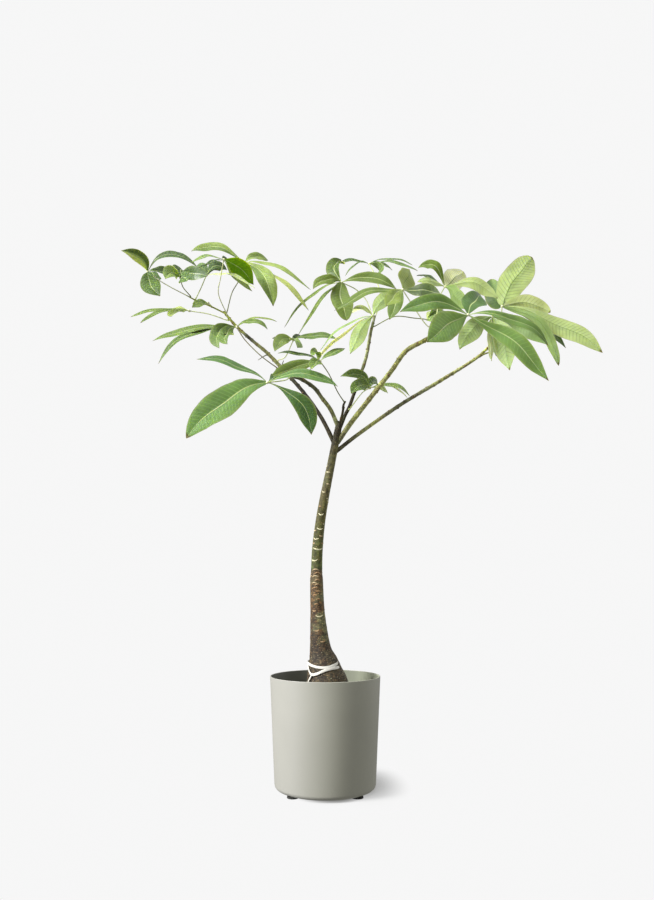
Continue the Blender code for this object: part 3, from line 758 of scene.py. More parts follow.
# The inside: darker, with painted shade at its left and painted light at its right
potInsideShadeAndLightMaterial = makePotMaterial("potInsidePaintedShadeAndLight", potLook["inside"], *potLook["insidePaintedShadeAndLight"])
footMaterial = makePlainMaterial("footBlackRubber", plainLooks["foot"])
soilMaterial = makePlainMaterial("pottingSoil", plainLooks["soil"])
chipMaterial = makePlainMaterial("barkChips", plainLooks["chip"])
tieMaterial = makePlainMaterial("tieWhite", plainLooks["tie"])
print("materials made")


# The tree's frame, in centimetres as the camera sees it

# Trunk centre and radius, from its foot in the soil to the fork
trunkRings = [
    (0.8, 17.4, 0, 2.6),
    (0.8, 18.6, 0, 4.2),
    (0.8, 21.0, 0, 5.2),
    (0.7, 23.6, 0, 5.7),
    (0.4, 26.3, 0, 5.1),
    (-0.1, 29.0, 0, 4.3),
    (-0.6, 31.7, 0, 3.5),
    (-1.1, 34.1, 0, 2.7),
    (-1.5, 38.0, 0, 2.2),
    (-1.9, 44.0, 0, 1.75),
    (-2.1, 51.0, 0, 1.6),
    (-2.1, 53.5, 0, 1.4),
    (-1.9, 59.0, 0, 1.32),
    (-1.2, 65.5, 0, 1.2),
    (-0.2, 71.5, 0, 1.12),
    (0.9, 77.0, 0, 1.02),
    (1.9, 82.0, 0, 0.95),
    (2.7, 86.0, 0, 0.92),
    (3.3, 89.0, 0, 0.8),
    (3.6, 90.2, 0, 0.6),
]

# Each branch's centre and radius from inside the trunk to its tip, and its bark's age at
# shares of its length
branches = {
    "outerLeft": {
        "points": [
            (2.5, 84.0, 0, 0.5), (0.9, 87.7, 0.5, 0.52), (-1.5, 92.1, 2, 0.48),
            (-5.4, 97.5, 4, 0.46), (-10.8, 103.5, 6, 0.46), (-14.5, 107.3, 7, 0.43),
            (-18.0, 110.2, 8, 0.4), (-22.1, 113.9, 9, 0.36), (-24.9, 117.2, 10, 0.28),
        ],
        "ages": [
            (0.0, 0.66), (0.42, 0.69), (0.54, 0.9), (0.64, 0.92), (0.72, 0.88), (0.79, 0.7),
            (0.84, 0.95), (1.0, 1.0),
        ],
    },
    "greenShoot": {
        "points": [
            (-24.6, 116.8, 10, 0.2), (-28.3, 118.6, 10, 0.19), (-32.0, 120.1, 10, 0.17),
            (-34.0, 121.2, 10, 0.14),
        ],
        "ages": [(0.0, 1.0), (1.0, 1.0)],
    },
    "innerLeft": {
        "points": [
            (3.3, 88.6, 0, 0.5), (1.4, 93.0, -1, 0.5), (-0.8, 96.0, -2.5, 0.47),
            (-2.7, 98.5, -4, 0.45), (-6.0, 100.7, -6, 0.43), (-9.0, 101.7, -8, 0.4),
            (-12.1, 103.1, -9, 0.3),
        ],
        "ages": [
            (0.0, 0.76), (0.12, 0.85), (0.3, 0.88), (0.42, 0.84), (0.5, 0.74), (0.6, 0.76),
            (1.0, 0.82),
        ],
    },
    "deadStub": {
        "points": [
            (3.4, 88.8, 0, 0.32), (4.3, 92.5, -1.5, 0.3), (4.5, 94.3, -2, 0.28),
            (5.0, 95.2, -2, 0.2),
        ],
        "ages": [(0.0, 0.66), (1.0, 0.68)],
    },
    "driedTwig": {
        "points": [
            (-13.9, 106.8, 6.8, 0.16), (-15.3, 106.1, 6.2, 0.11), (-16.5, 105.3, 6, 0.06),
        ],
        "ages": [(0.0, 0.76), (1.0, 0.8)],
    },
    "forkedStub": {
        "points": [
            (-10.7, 103.4, 6, 0.18), (-10.5, 104.4, 6, 0.13), (-10.2, 105.2, 6, 0.08),
        ],
        "ages": [(0.0, 0.8), (1.0, 0.76)],
    },
    "middle": {
        "points": [
            (3.7, 88.8, 0, 0.46), (4.9, 91.8, 1.5, 0.45), (6.1, 94.3, 2.5, 0.44),
            (8.1, 100.2, 4, 0.42), (10.0, 105.8, 5, 0.4), (11.2, 112.2, 6, 0.37),
            (12.2, 116.2, 6, 0.28),
        ],
        "ages": [
            (0.0, 0.7), (0.22, 0.68), (0.38, 0.68), (0.5, 0.77), (0.7, 0.87), (0.85, 0.85),
            (0.93, 0.8), (1.0, 0.84),
        ],
    },
    "mainRight": {
        "points": [
            (3.0, 85.0, 0, 0.6), (6.1, 89.6, -0.5, 0.62), (11.2, 96.2, -1.5, 0.59),
            (16.2, 102.6, -2.5, 0.56), (19.8, 107.5, -3.5, 0.53), (24.5, 110.2, -4.5, 0.48),
            (28.4, 112.8, -5, 0.34),
        ],
        "ages": [(0.0, 0.76), (0.14, 0.9), (0.34, 0.91), (0.8, 0.91), (0.9, 0.96), (1.0, 1.0)],
    },
    "lowRight": {
        "points": [
            (2.1, 82.4, 0, 0.5), (8.5, 87.4, 1, 0.48), (18.4, 94.3, 4, 0.46),
            (28.2, 100.2, 7, 0.44), (36.8, 105.6, 9, 0.38), (40.4, 108.8, 10, 0.28),
        ],
        "ages": [
            (0.0, 0.68), (0.08, 0.7), (0.14, 0.84), (0.27, 0.92), (0.38, 0.75), (0.52, 0.78),
            (0.58, 0.84), (0.68, 0.92), (0.78, 0.86), (0.9, 0.91), (1.0, 1.0),
        ],
    },
    "lowProng": {
        "points": [
            (36.9, 105.6, 9, 0.26), (38.8, 106.7, 9.4, 0.24), (40.6, 107.3, 10, 0.15),
        ],
        "ages": [(0.0, 0.9), (1.0, 1.0)],
    },
}


# Leaves

# Each leaf: the branch it grows on and how far along, its petiole's bends and its hub. Where
# it isn't plain, its warmth from 0, a bluer green, to 1, a yellower one, and how pale its
# stalk is. Then its leaflets as (middle across, middle up, tip across, tip up, tip depth,
# width, facing, tone, blunt, half light, late), of which the last three may be left out.
# Facing is in degrees: 0 is edge-on with the upper side up, 90 shows the upper side, -90
# shows the underside. Tone goes from 0, dark, to 1, pale; it was matched leaflet by leaflet
# to how dark or pale each looks, so besides the leaflet's own green it carries painted light
# and painted shade. Blunt rounds the outline from 0, pointed, to 1. Half light is painted
# light on one half of the blade and painted shade on the other, as a fold would light them:
# the tone that one half gains and the other loses. Late moves the widest place toward the tip.
leaves = {
    "leaf_01": {
        "on": ("greenShoot", 0.97), "petiole": [(-39.5, 124.1, 5)],
        "hub": (-43.6, 127.0, 7), "stalkTone": 1.0,
        "leaflets": [
            (-45.6, 130.5, -50.1, 132.2, 3, 3.3, 62, 0.53, 0, -0.28, -0.3),
            (-38.3, 131.3, -31.0, 127.8, 3, 2.8, 30, 0.15),
            (-40.2, 127.3, -37.6, 126.3, 17, 3.0, 35, 0.22),
            (-42.0, 126.3, -40.7, 125.0, -4, 2.6, 30, 0.19),
            (-43.0, 124.2, -40.5, 121.0, 2, 4.9, 75, 0.27),
        ],
    },
    "leaf_02": {
        "on": ("greenShoot", 0.84), "petiole": [(-34.9, 123.2, 8)],
        "hub": (-35.6, 125.6, 4), "stalkTone": 0.35,
        "leaflets": [
            (-37.6, 126.7, -39.2, 125.2, -3, 3.8, 62, 0.52),
            (-32.4, 126.6, -28.8, 126.0, -1, 3.6, 66, 0.2, 0.5),
            (-34.9, 125.6, -33.8, 124.7, -11, 3.0, 85, 0.21, 0.3),
            (-35.5, 126.9, -35.2, 127.6, 15, 4.4, 88, 0.24, 0.5),
            (-33.8, 126.7, -32.2, 126.4, 14, 3.8, -20, 0.2),
        ],
    },
    "leaf_03": {
        "on": ("greenShoot", 0.66), "petiole": [(-30.4, 123.2, 11)],
        "hub": (-29.2, 126.1, 12),
        "leaflets": [
            (-26.9, 128.4, -24.1, 127.4, 15, 3.4, 35, 0.15),
            (-30.6, 127.6, -31.8, 126.8, 18, 3.6, 40, 0.22),
            (-23.2, 126.3, -17.2, 122.9, -8, 2.0, -158, 0.66),
            (-29.8, 127.0, -30.4, 127.2, 23, 3.0, 85, 0.26),
            (-27.6, 127.4, -25.8, 127.2, 22, 3.6, -20, 0.08),
        ],
    },
    "leaf_04": {
        "on": ("outerLeft", 0.985), "petiole": [(-22.9, 121.8, 10), (-21.2, 124.9, 9.5)],
        "hub": (-19.8, 129.3, 8), "warmth": 0.62, "stalkTone": 0.3,
        "leaflets": [
            (-27.0, 133.0, -32.9, 132.0, 8, 3.0, 40, 0.46, 0, 0.12),
            (-17.0, 130.6, -14.0, 129.8, 17, 3.4, 30, 0.47),
            (-12.4, 128.3, -3.5, 122.5, 8, 2.8, 20, 0.6),
            (-12.9, 126.4, -4.0, 117.4, 2, 2.8, 24, 0.8, 0, 0, 1.1),
            (-14.9, 125.6, -12.8, 118.5, 0, 4.6, 62, 0.44, 0, 0.1),
        ],
    },
    "leaf_05": {
        "on": ("outerLeft", 0.94), "petiole": [(-28.5, 116.6, 12)],
        "hub": (-33.4, 117.4, 13), "warmth": 0.7,
        "leaflets": [
            (-40.3, 117.7, -47.8, 115.9, 14, 2.5, 18, 0.36, 0.45, 0, 0.9),
            (-39.6, 117.3, -45.4, 114.4, 8, 2.5, 20, 0.28, 0.45, 0, 0.9),
            (-36.2, 117.3, -37.8, 116.0, 3, 3.0, 28, 0.58, 0, 0, 0.6),
            (-36.0, 118.0, -38.0, 117.6, 20, 2.4, 10, 0.7),
        ],
    },
    "leaf_06": {
        "on": ("innerLeft", 0.98),
        "petiole": [(-15.6, 106.2, -8), (-19.3, 109.8, -6), (-21.1, 112.3, -5)],
        "hub": (-21.8, 113.5, -4), "warmth": 0.6, "stalkTone": 0.05,
        "leaflets": [
            (-32.5, 112.9, -42.4, 110.0, -6, 3.2, 28, 0.36),
            (-33.5, 111.6, -41.0, 104.3, -9, 3.0, 25, 0.24),
            (-26.2, 112.3, -26.0, 108.2, -12, 4.2, 65, 0.28),
            (-24.4, 111.9, -24.0, 109.2, -15, 3.8, 70, 0.3),
            (-17.8, 114.9, -14.1, 112.8, -6, 2.8, 25, 0.37),
            (-16.6, 115.6, -11.8, 114.7, 2, 2.4, 12, 0.64),
        ],
    },
    "leaf_07": {
        "on": ("innerLeft", 0.83), "petiole": [(-9.0, 100.8, -9.2), (-10.2, 100.3, -13)],
        "hub": (-14.2, 99.8, -16), "warmth": 0.1,
        "leaflets": [
            (-24.8, 95.4, -34.1, 86.1, -20, 7.7, 66, 0.46, 0.3),
            (-22.3, 104.3, -31.6, 105.5, -14, 3.2, 32, 0.26),
            (-6.6, 95.4, -3.4, 87.0, -17, 4.7, 80, 0.2, 0, 0, 0.6),
            (-5.0, 101.9, 3.1, 98.8, -17, 3.2, 45, 0.35),
            (-11.2, 101.6, -8.4, 102.4, -3, 3.6, 30, 0.08),
        ],
    },
    "leaf_08": {
        "on": ("deadStub", 0.9), "petiole": [(3.0, 97.6, -4), (0.9, 101.9, -6)],
        "hub": (-1.3, 105.1, -7), "warmth": 0.6, "stalkTone": 0.25,
        "leaflets": [
            (-6.4, 106.9, -11.7, 107.0, -6, 2.6, 18, 0.06),
            (-7.5, 103.4, -13.4, 101.3, -12, 3.8, 66, 0.46),
            (-2.2, 106.8, -2.8, 106.5, -18, 3.0, 30, 0.32),
            (1.6, 106.9, 4.9, 108.2, -3, 2.8, 30, 0.25),
            (-2.4, 104.6, -3.2, 103.1, -18, 3.4, 55, 0.34),
        ],
    },
    "leaf_09": {
        "on": ("outerLeft", 0.535), "petiole": [(-9.7, 106.2, 4.5)],
        "hub": (-7.8, 110.3, 3), "stalkTone": 0.8,
        "leaflets": [
            (-10.5, 110.2, -12.4, 107.4, -2, 3.4, 62, 0.6),
            (-10.6, 111.2, -13.0, 110.5, 10, 2.8, 10, 0.48),
            (-7.2, 110.0, -6.8, 108.3, -8, 3.4, 30, 0.47),
            (-2.5, 111.4, 3.0, 110.4, 1, 2.9, 30, 0.29),
            (-6.4, 111.1, -5.2, 110.7, 14, 2.8, 5, 0.04),
        ],
    },
    "leaf_10": {
        "on": ("middle", 0.985), "petiole": [(10.2, 119.8, 9), (7.6, 122.6, 9)],
        "hub": (4.0, 124.4, 7), "warmth": 0.85,
        "leaflets": [
            (2.4, 128.2, 3.9, 130.0, 15, 4.6, 60, 0.17),
            (0.3, 125.2, -3.0, 122.7, 2, 3.2, 50, 0.35),
            (4.0, 120.4, 5.3, 115.0, 1, 5.2, 78, 0.29, 0.6, 0, 0.2),
            (11.0, 125.5, 17.5, 122.7, 4, 3.6, 45, 0.25),
            (-3.4, 121.2, -10.1, 113.2, 8, 2.4, 16, 0.28),
            (-0.4, 120.6, -6.8, 111.2, 3, 2.4, 20, 0.26),
        ],
    },
    "leaf_11": {
        "on": ("middle", 0.955), "petiole": [(13.6, 120.5, 12), (12.2, 126.0, 16)],
        "hub": (10.8, 129.0, 18),
        "leaflets": [
            (6.8, 129.7, 2.9, 128.9, 16, 2.6, 15, 0.14),
            (7.6, 128.9, 4.9, 125.9, 24, 2.4, 8, 0.28),
            (13.8, 129.0, 16.5, 127.3, 26, 2.6, 12, 0.3),
            (15.9, 130.2, 21.5, 128.6, 16, 2.4, 8, 0.31),
            (16.6, 129.2, 22.8, 127.2, 10, 2.6, 14, 0.28),
            (13.2, 127.9, 13.0, 126.4, 8, 3.2, -35, 0.15),
        ],
    },
    "leaf_12": {
        "on": ("mainRight", 0.985),
        "petiole": [(25.2, 113.6, -5), (22.4, 117.3, -5), (20.3, 120.6, -5)],
        "hub": (19.0, 122.6, -5), "warmth": 0.75, "stalkTone": 0.8,
        "leaflets": [
            (20.0, 125.4, 20.7, 127.6, 4, 5.2, -60, 0.42),
            (11.3, 121.9, 2.2, 117.4, -9, 2.8, 36, 0.3),
            (16.9, 120.9, 15.0, 118.6, -17, 4.2, 70, 0.5),
            (17.7, 119.6, 15.8, 115.2, -8, 3.8, 60, 0.26),
            (24.0, 122.3, 28.3, 121.6, -9, 3.6, 62, 0.1),
        ],
    },
    "leaf_13": {
        "on": ("middle", 0.93), "petiole": [(11.8, 115.6, 1)],
        "hub": (11.7, 116.2, -2), "warmth": 0.4, "stalkTone": 0.95,
        "leaflets": [
            (9.2, 117.9, 6.6, 116.8, -10, 2.8, 30, 0.88),
            (14.2, 120.0, 17.1, 122.2, 4, 4.0, -108, 0.54),
            (4.8, 113.7, -1.3, 107.6, 0, 1.9, 15, 0.48),
            (4.0, 111.4, -4.7, 101.6, -4, 2.0, -22, 1.0),
            (8.9, 112.6, 6.1, 106.8, -9, 3.8, -110, 0.57),
        ],
    },
    "leaf_14": {
        "on": ("mainRight", 0.955), "petiole": [(27.4, 116.5, -1), (28.1, 120.8, 3)],
        "hub": (29.4, 123.3, 5),
        "leaflets": [
            (31.8, 125.2, 34.0, 127.0, 14, 5.5, -100, 0.85, 1.0),
            (26.0, 124.6, 22.6, 124.5, 0, 3.0, -150, 0.56),
            (25.2, 125.6, 22.9, 126.1, 16, 3.0, 15, 0.05),
            (26.6, 128.4, 22.8, 127.9, 6, 3.0, 45, 0.96),
            (36.6, 123.9, 42.4, 120.4, 4, 3.6, -125, 0.6),
            (31.7, 121.6, 34.4, 117.8, -6, 4.2, -65, 0.28),
        ],
    },
    "leaf_15": {
        "on": ("middle", 0.9), "petiole": [(17.0, 116.0, 10), (22.0, 115.6, 13)],
        "hub": (25.0, 115.3, 15), "warmth": 0.4, "stalkTone": 0.4,
        "leaflets": [
            (26.2, 116.6, 27.8, 117.0, 26, 2.8, 20, 0.82),
            (28.4, 116.6, 31.5, 114.6, 17, 3.2, 30, 0.48),
            (26.6, 115.2, 28.6, 112.6, 10, 3.4, 40, 0.5),
            (27.6, 118.0, 31.0, 119.2, 20, 3.2, -40, 0.53),
        ],
    },
    "leaf_16": {
        "on": ("mainRight", 0.925), "petiole": [(30.0, 112.8, -10), (33.2, 114.4, -16)],
        "hub": (35.0, 116.4, -20), "warmth": 0.25,
        "leaflets": [
            (26.9, 119.4, 18.3, 117.1, -21, 4.2, 62, 0.36),
            (30.0, 113.7, 25.0, 109.7, -27, 7.0, 82, 0.51, 0, 0.04),
            (36.5, 119.7, 38.1, 121.4, -10, 6.0, 80, 0.22),
            (46.2, 115.6, 54.9, 108.7, -16, 3.2, 45, 0.45),
            (45.6, 109.9, 54.9, 100.2, -22, 4.6, 84, 0.42),
        ],
    },
    "leaf_17": {
        "on": ("lowRight", 0.985), "petiole": [(41.4, 112.4, 7)],
        "hub": (41.0, 116.0, 2), "warmth": 0.4,
        "leaflets": [
            (36.3, 113.1, 33.0, 107.9, -2, 4.9, -105, 0.5),
            (43.4, 111.0, 45.3, 102.8, -2, 5.6, -80, 0.5),
            (41.4, 112.2, 42.0, 106.2, 6, 3.6, -60, 0.45),
            (40.4, 109.6, 40.9, 105.0, -3, 1.8, -45, 0.78),
            (48.6, 113.6, 54.6, 109.0, -4, 4.0, -110, 0.22),
        ],
    },
    "leaf_18": {
        "on": ("lowRight", 0.955), "petiole": [(42.6, 110.0, 13), (43.2, 114.5, 14)],
        "hub": (43.4, 118.5, 13), "warmth": 0.45,
        "leaflets": [
            (46.8, 125.4, 50.8, 130.6, 14, 7.2, -98, 0.6, 0.8),
            (41.4, 121.6, 40.6, 125.2, 20, 4.8, -80, 0.02, 0.9, 0.25),
            (50.0, 119.1, 55.3, 117.0, 12, 4.0, -95, 0.73, 0.5),
            (56.4, 114.8, 68.1, 107.1, 10, 4.6, -115, 0.61, 0.15, 0, 0.35),
            (53.0, 113.6, 57.3, 103.9, 7, 2.7, -110, 0.34, 0.55, 0, 0.8),
            (52.6, 114.4, 59.1, 108.2, 16, 3.4, 38, 0.23),
        ],
    },
    "leaf_19": {
        "on": ("greenShoot", 0.3), "petiole": [],
        "hub": (-28.7, 119.3, 8.5),
        "leaflets": [
            (-30.6, 119.3, -32.7, 118.2, 7, 2.4, 50, 0.49),
            (-30.5, 119.3, -32.6, 119.2, 3, 1.8, 40, 0.52),
        ],
    },
    "leaf_20": {
        "on": ("middle", 0.27), "petiole": [(9.0, 97.2, 0.5)],
        "hub": (11.0, 98.5, 0.5),
        "leaflets": [
            (8.6, 101.6, 3.7, 101.3, -3, 3.2, 45, 0.39),
            (8.5, 99.1, 6.4, 97.0, -6, 3.6, 66, 0.34),
            (12.0, 99.7, 12.8, 99.1, 12, 3.2, 40, 0.22),
            (16.6, 99.1, 20.8, 96.4, 3, 2.8, 20, 0.51),
            (16.4, 98.7, 20.2, 96.0, 6, 2.4, 12, 0.88),
            (13.6, 98.4, 15.4, 97.2, 10, 2.6, 25, 0.72),
        ],
    },
    "leaf_21": {
        "on": ("outerLeft", 0.965), "petiole": [(-26.2, 121.5, 6), (-25.7, 125.5, 3)],
        "hub": (-24.9, 130.0, 0), "stalkTone": 0.92,
        "leaflets": [
            (-29.0, 130.7, -32.9, 129.2, -4, 2.4, 15, 0.43),
            (-21.2, 128.0, -17.6, 123.8, 3, 4.3, 80, 1.0),
            (-22.0, 125.9, -17.9, 122.2, 4, 2.8, 35, 0.66),
            (-28.0, 129.4, -31.0, 127.9, -12, 2.4, 8, 0.09),
            (-23.8, 129.8, -22.0, 128.5, 13, 2.8, 0, 0.05),
        ],
    },
}

leafPlan = {
    "stations": 36,
    "columns": 13,
    "thickness": 0.0007,
    "wideFold": 0.13,
    "narrowFold": 0.11,
    "foldedFromWidth": 3.5,
    "foldSeenBelow": 0.5,
    "foldLift": 1.5,
    "foldArch": 0.38,
    "puff": 0.0008,
    "puffMargin": 1.15,
    "puffLift": 3.0,
    "ripple": 0.0050,
    "rippleGrain": 34.0,
    "rippleFade": 4.0,  # the higher, the nearer the tip they fade
    "reliefSizes": (0.006, 0.03),  # half widths at which relief starts and is full
    "wander": 0.08,
    "wanderGrain": 30.0,
    "taper": 30.0,
    "thinning": 6.0,  # the higher, the nearer the margin it starts
    "weld": 0.00001,
    "ridgeHalf": 0.0016,
    "ridgeHeight": 0.0007,
    "bendInPlane": 0.020,
    "bendOutOfPlane": 0.016,
    "swayTurns": 1.1,
    "flapTurns": 1.4,
    "roundness": 0.9,
    "leastShare": 0.02,
    "veinSpacing": 0.0095,
    "veinSlant": 0.62,
    "widestLean": 1.14,
    "widestDrift": 0.22,
    "plainWarmth": 0.5,
    "plainStalk": 0.65,
    "petioleFoot": 0.0019,
    "petioleReach": 0.00125,
    "petioleKnee": 0.004,
    "petioleFlare": 0.006,
    "petioleSpans": 6,
    "petioleSides": 10,
    "branchSpans": 2,
    "gap": 0.0003,
    "hubReach": 0.0033,
    "hubTone": 0.9,
    "driftSeed": 5,
    "driftGrain": 97.0,
}
noise.seed_set(leafPlan["driftSeed"])  # noise_vector is seeded by the clock without this

# A blade's half outline: how far along the midrib, and its share of the full width
bladeOutline = [
    (0.00, 0.05),
    (0.05, 0.13),
    (0.15, 0.42),
    (0.27, 0.74),
    (0.40, 0.95),
    (0.53, 1.00),
    (0.66, 0.95),
    (0.79, 0.72),
    (0.89, 0.40),
    (0.96, 0.14),
    (1.00, 0.02),
]

# The knob where the leaflets meet: how far along it, and its share of the full thickness
hubOutline = [
    (-1.6, 0.40),
    (-1.1, 0.62),
    (-0.55, 0.92),
    (0.0, 1.0),
    (0.5, 0.86),
    (0.85, 0.5),
    (1.0, 0.12),
]


def outlineShare(along):
    points = [Vector(item) for item in bladeOutline]
    for index in range(len(points) - 1):
        low, high = points[index:index + 2]
        if low.x <= along <= high.x:
            before = points[max(index - 1, 0)]
            after = points[min(index + 2, len(points) - 1)]
            span = high.x - low.x
            t = (along - low.x) / span
            slopeIn = (high.y - before.y) / (high.x - before.x)
            slopeOut = (after.y - low.y) / (after.x - low.x)
            return (
                (2 * t ** 3 - 3 * t ** 2 + 1) * low.y + (t ** 3 - 2 * t ** 2 + t) * span * slopeIn
                + (3 * t ** 2 - 2 * t ** 3) * high.y + (t ** 3 - t ** 2) * span * slopeOut
            )
    return points[-1].y


# Blades: a row of points is swept along each midrib, lifted into its fold, quilting and
# ripples, and given an upper side and an underside that meet at the margin
def makeBladeTree():
    plan = leafPlan
    tree, given = newTree("leafBlades", {
        "columns": "Int", "thickness": "Float", "puff": "Float", "ripple": "Float",
        "wander": "Float", "upper": "Material", "under": "Material",
    })
    acrossWay = readValue(tree, "acrossWay", "FLOAT_VECTOR")
    outward = readValue(tree, "bladeNormal", "FLOAT_VECTOR")
    side = readValue(tree, "side")
    half = readValue(tree, "halfWidth")
    along = readValue(tree, "along")
    where = addNode(tree, "GeometryNodeInputPosition")

    midribs = addNode(tree, "GeometryNodeMeshToCurve", {"Mesh": given["Geometry"]})
    wires = {"Curve": midribs, "Normal": acrossWay}
    midribs = addNode(tree, "GeometryNodeSetCurveNormal", wires, mode="FREE")
    wires = {"Start": (-1, 0, 0), "End": (1, 0, 0)}
    row = addNode(tree, "GeometryNodeCurvePrimitiveLine", wires)
    row = addNode(tree, "GeometryNodeResampleCurve", {"Curve": row, "Count": given["columns"]})
    row = storeValue(row, "side", axisOf(where, "X"))
    wires = {"Curve": midribs, "Profile Curve": row, "Scale": half}
    sheet = addNode(tree, "GeometryNodeCurveToMesh", wires)

    reach = abs(side)
    square = reach * reach
    away = reach * half
    slant = away * (plan["veinSlant"] / readValue(tree, "bladeLength"))
    sheet = storeValue(sheet, "veinPhase", (along - slant) * readValue(tree, "veinCount"))

    arch = reach - square * plan["foldArch"]
    fold = half * readValue(tree, "fold") * (arch * plan["foldLift"])
    wave = abs((readValue(tree, "veinPhase") * math.pi).maths("SINE"))
    quilting = wave * (reach * (plan["puffMargin"] - reach)) * (given["puff"] * plan["puffLift"])

    def driftOf(scale):
        return (noiseAt(where, scale, 1.0) - 0.5) * 2.0

    inside = 1.0 - along ** plan["rippleFade"]
    ripples = driftOf(plan["rippleGrain"]) * given["ripple"] * (square * inside)
    rise = fold + (quilting + ripples) * half.ranged(*plan["reliefSizes"])
    stray = driftOf(plan["wanderGrain"]) * given["wander"] * half * side * reach
    wires = {0: scaled(outward, rise), 1: scaled(acrossWay, stray)}
    sheet = moved(sheet, addNode(tree, "ShaderNodeVectorMath", wires))

    ends = (along * (1.0 - along) * plan["taper"]).maths("MINIMUM", 1.0)
    thin = 1.0 - reach ** plan["thinning"]
    body = thin * ends * (given["thickness"] * 0.5)
    ridge = away.ranged(0.0, plan["ridgeHalf"], plan["ridgeHeight"], 0.0) * (ends * thin)
    upper = moved(sheet, scaled(outward, body))
    under = moved(sheet, scaled(outward, (body + ridge) * -1.0))
    under = addNode(tree, "GeometryNodeFlipFaces", {"Mesh": under})
    under = storeValue(under, "underSide", True, data_type="BOOLEAN", domain="FACE")
    both = addNode(tree, "GeometryNodeJoinGeometry", {0: under})
    tree.links.new(upper.socket, both.socket.node.inputs[0])
    wires = {"Geometry": both, "Distance": plan["weld"]}
    welded = addNode(tree, "GeometryNodeMergeByDistance", wires)
    isUnder = readValue(tree, "underSide", "BOOLEAN")
    return closeTree(welded, given["upper"], given["under"], isUnder)


# Stalks and stems: a ring is swept along each path, with a rough or smooth skin
def makeStemTree():
    tree, given = newTree("stems", {
        "sides": "Int", "relief": "Float", "grain": "Float", "finish": "Material",
    })
    paths = addNode(tree, "GeometryNodeMeshToCurve", {"Mesh": given["Geometry"]})
    wires = {"Resolution": given["sides"], "Radius": 1.0}
    ring = addNode(tree, "GeometryNodeCurvePrimitiveCircle", wires)
    reach = readValue(tree, "reach")
    wires = {"Curve": paths, "Profile Curve": ring, "Scale": reach, "Fill Caps": True}
    tube = addNode(tree, "GeometryNodeCurveToMesh", wires)
    grain = noiseAt(addNode(tree, "GeometryNodeInputPosition"), given["grain"], 3.0) - 0.5
    lift = grain * given["relief"] * readValue(tree, "rough")
    tube = moved(tube, scaled(addNode(tree, "GeometryNodeInputNormal"), lift))
    return closeTree(tube, given["finish"])


bladeTree = makeBladeTree()
stemTree = makeStemTree()


def bladeChain(hub, hubDepth, warmth, leaflet):
    plan = leafPlan
    midAcross, midUp, tipAcross, tipUp, tipDepth, width, facing, tone = leaflet[:8]
    blunt, paintedHalfLight, late = (leaflet[8:] + (0.0, 0.0, 0.0))[:3]
    tip = place(tipAcross, tipUp, tipDepth)
    midDepth = (hubDepth + tipDepth) / 2
    middle = place(midAcross, midUp, midDepth)
    bend = 2 * middle - 0.5 * (hub + tip)
    sight = (middle - Vector(cameraView["eye"])).normalized()
    sideWay = -1 if tip.x >= hub.x else 1
    face = math.radians(facing)
    length = (middle - hub).length + (tip - middle).length
    half = width * cm * seenScale(midDepth) / 2
    fold = plan["wideFold" if width >= plan["foldedFromWidth"] else "narrowFold"]
    fold *= plan["foldSeenBelow"] if facing < 0 else 1
    drift = noise.noise_vector(tip * plan["driftGrain"])
    lean = plan["widestLean"] + plan["widestDrift"] * drift.z + late
    chain = []
    for index in range(plan["stations"] + 1):
        along = index / plan["stations"]
        tangent = (bend - hub).lerp(tip - bend, along).normalized()
        towardEye = -(sight - tangent * sight.dot(tangent)).normalized()
        upward = sideWay * tangent.cross(towardEye)
        normal = math.sin(face) * towardEye + math.cos(face) * upward
        sway = math.sin(math.pi * along) * length
        wave = math.sin(2 * math.pi * (plan["swayTurns"] * along + drift.x))
        flap = math.sin(2 * math.pi * (plan["flapTurns"] * along + drift.y))
        strayed = tangent.cross(normal) * sway * wave * plan["bendInPlane"]
        strayed += normal * sway * flap * plan["bendOutOfPlane"]
        rounded = math.sqrt(max(0.0, 1 - (2 * along - 1) ** 2)) ** plan["roundness"]
        share = outlineShare(along ** lean) * (1 - blunt) + rounded * blunt
        chain.append({
            "at": hub.lerp(bend, along).lerp(bend.lerp(tip, along), along) + strayed,
            "acrossWay": tangent.cross(normal),
            "bladeNormal": normal,
            "halfWidth": half * max(plan["leastShare"], share),
            "along": along,
            "bladeLength": length,
            "veinCount": length / plan["veinSpacing"],
            "fold": fold,
            "tone": tone,
            # painted light for one half of the blade and painted shade for the other
            "paintedHalfLight": paintedHalfLight * sideWay * (1 if facing > 0 else -1),
            "warmth": warmth,
        })
    return chain


# Where a petiole leaves its branch: the point on the bark nearest to where it heads
def petioleFoot(branch, share, toward):
    stations = stemStations(branches[branch]["points"], leafPlan["branchSpans"])
    mark = share * (len(stations) - 1)
    station, direction = stationAt(stations, range(len(stations)), mark)
    outward = toward - station.to_3d()
    outward = (outward - direction * outward.dot(direction)).normalized()
    return station.to_3d() + outward * (station.w + leafPlan["gap"]), outward


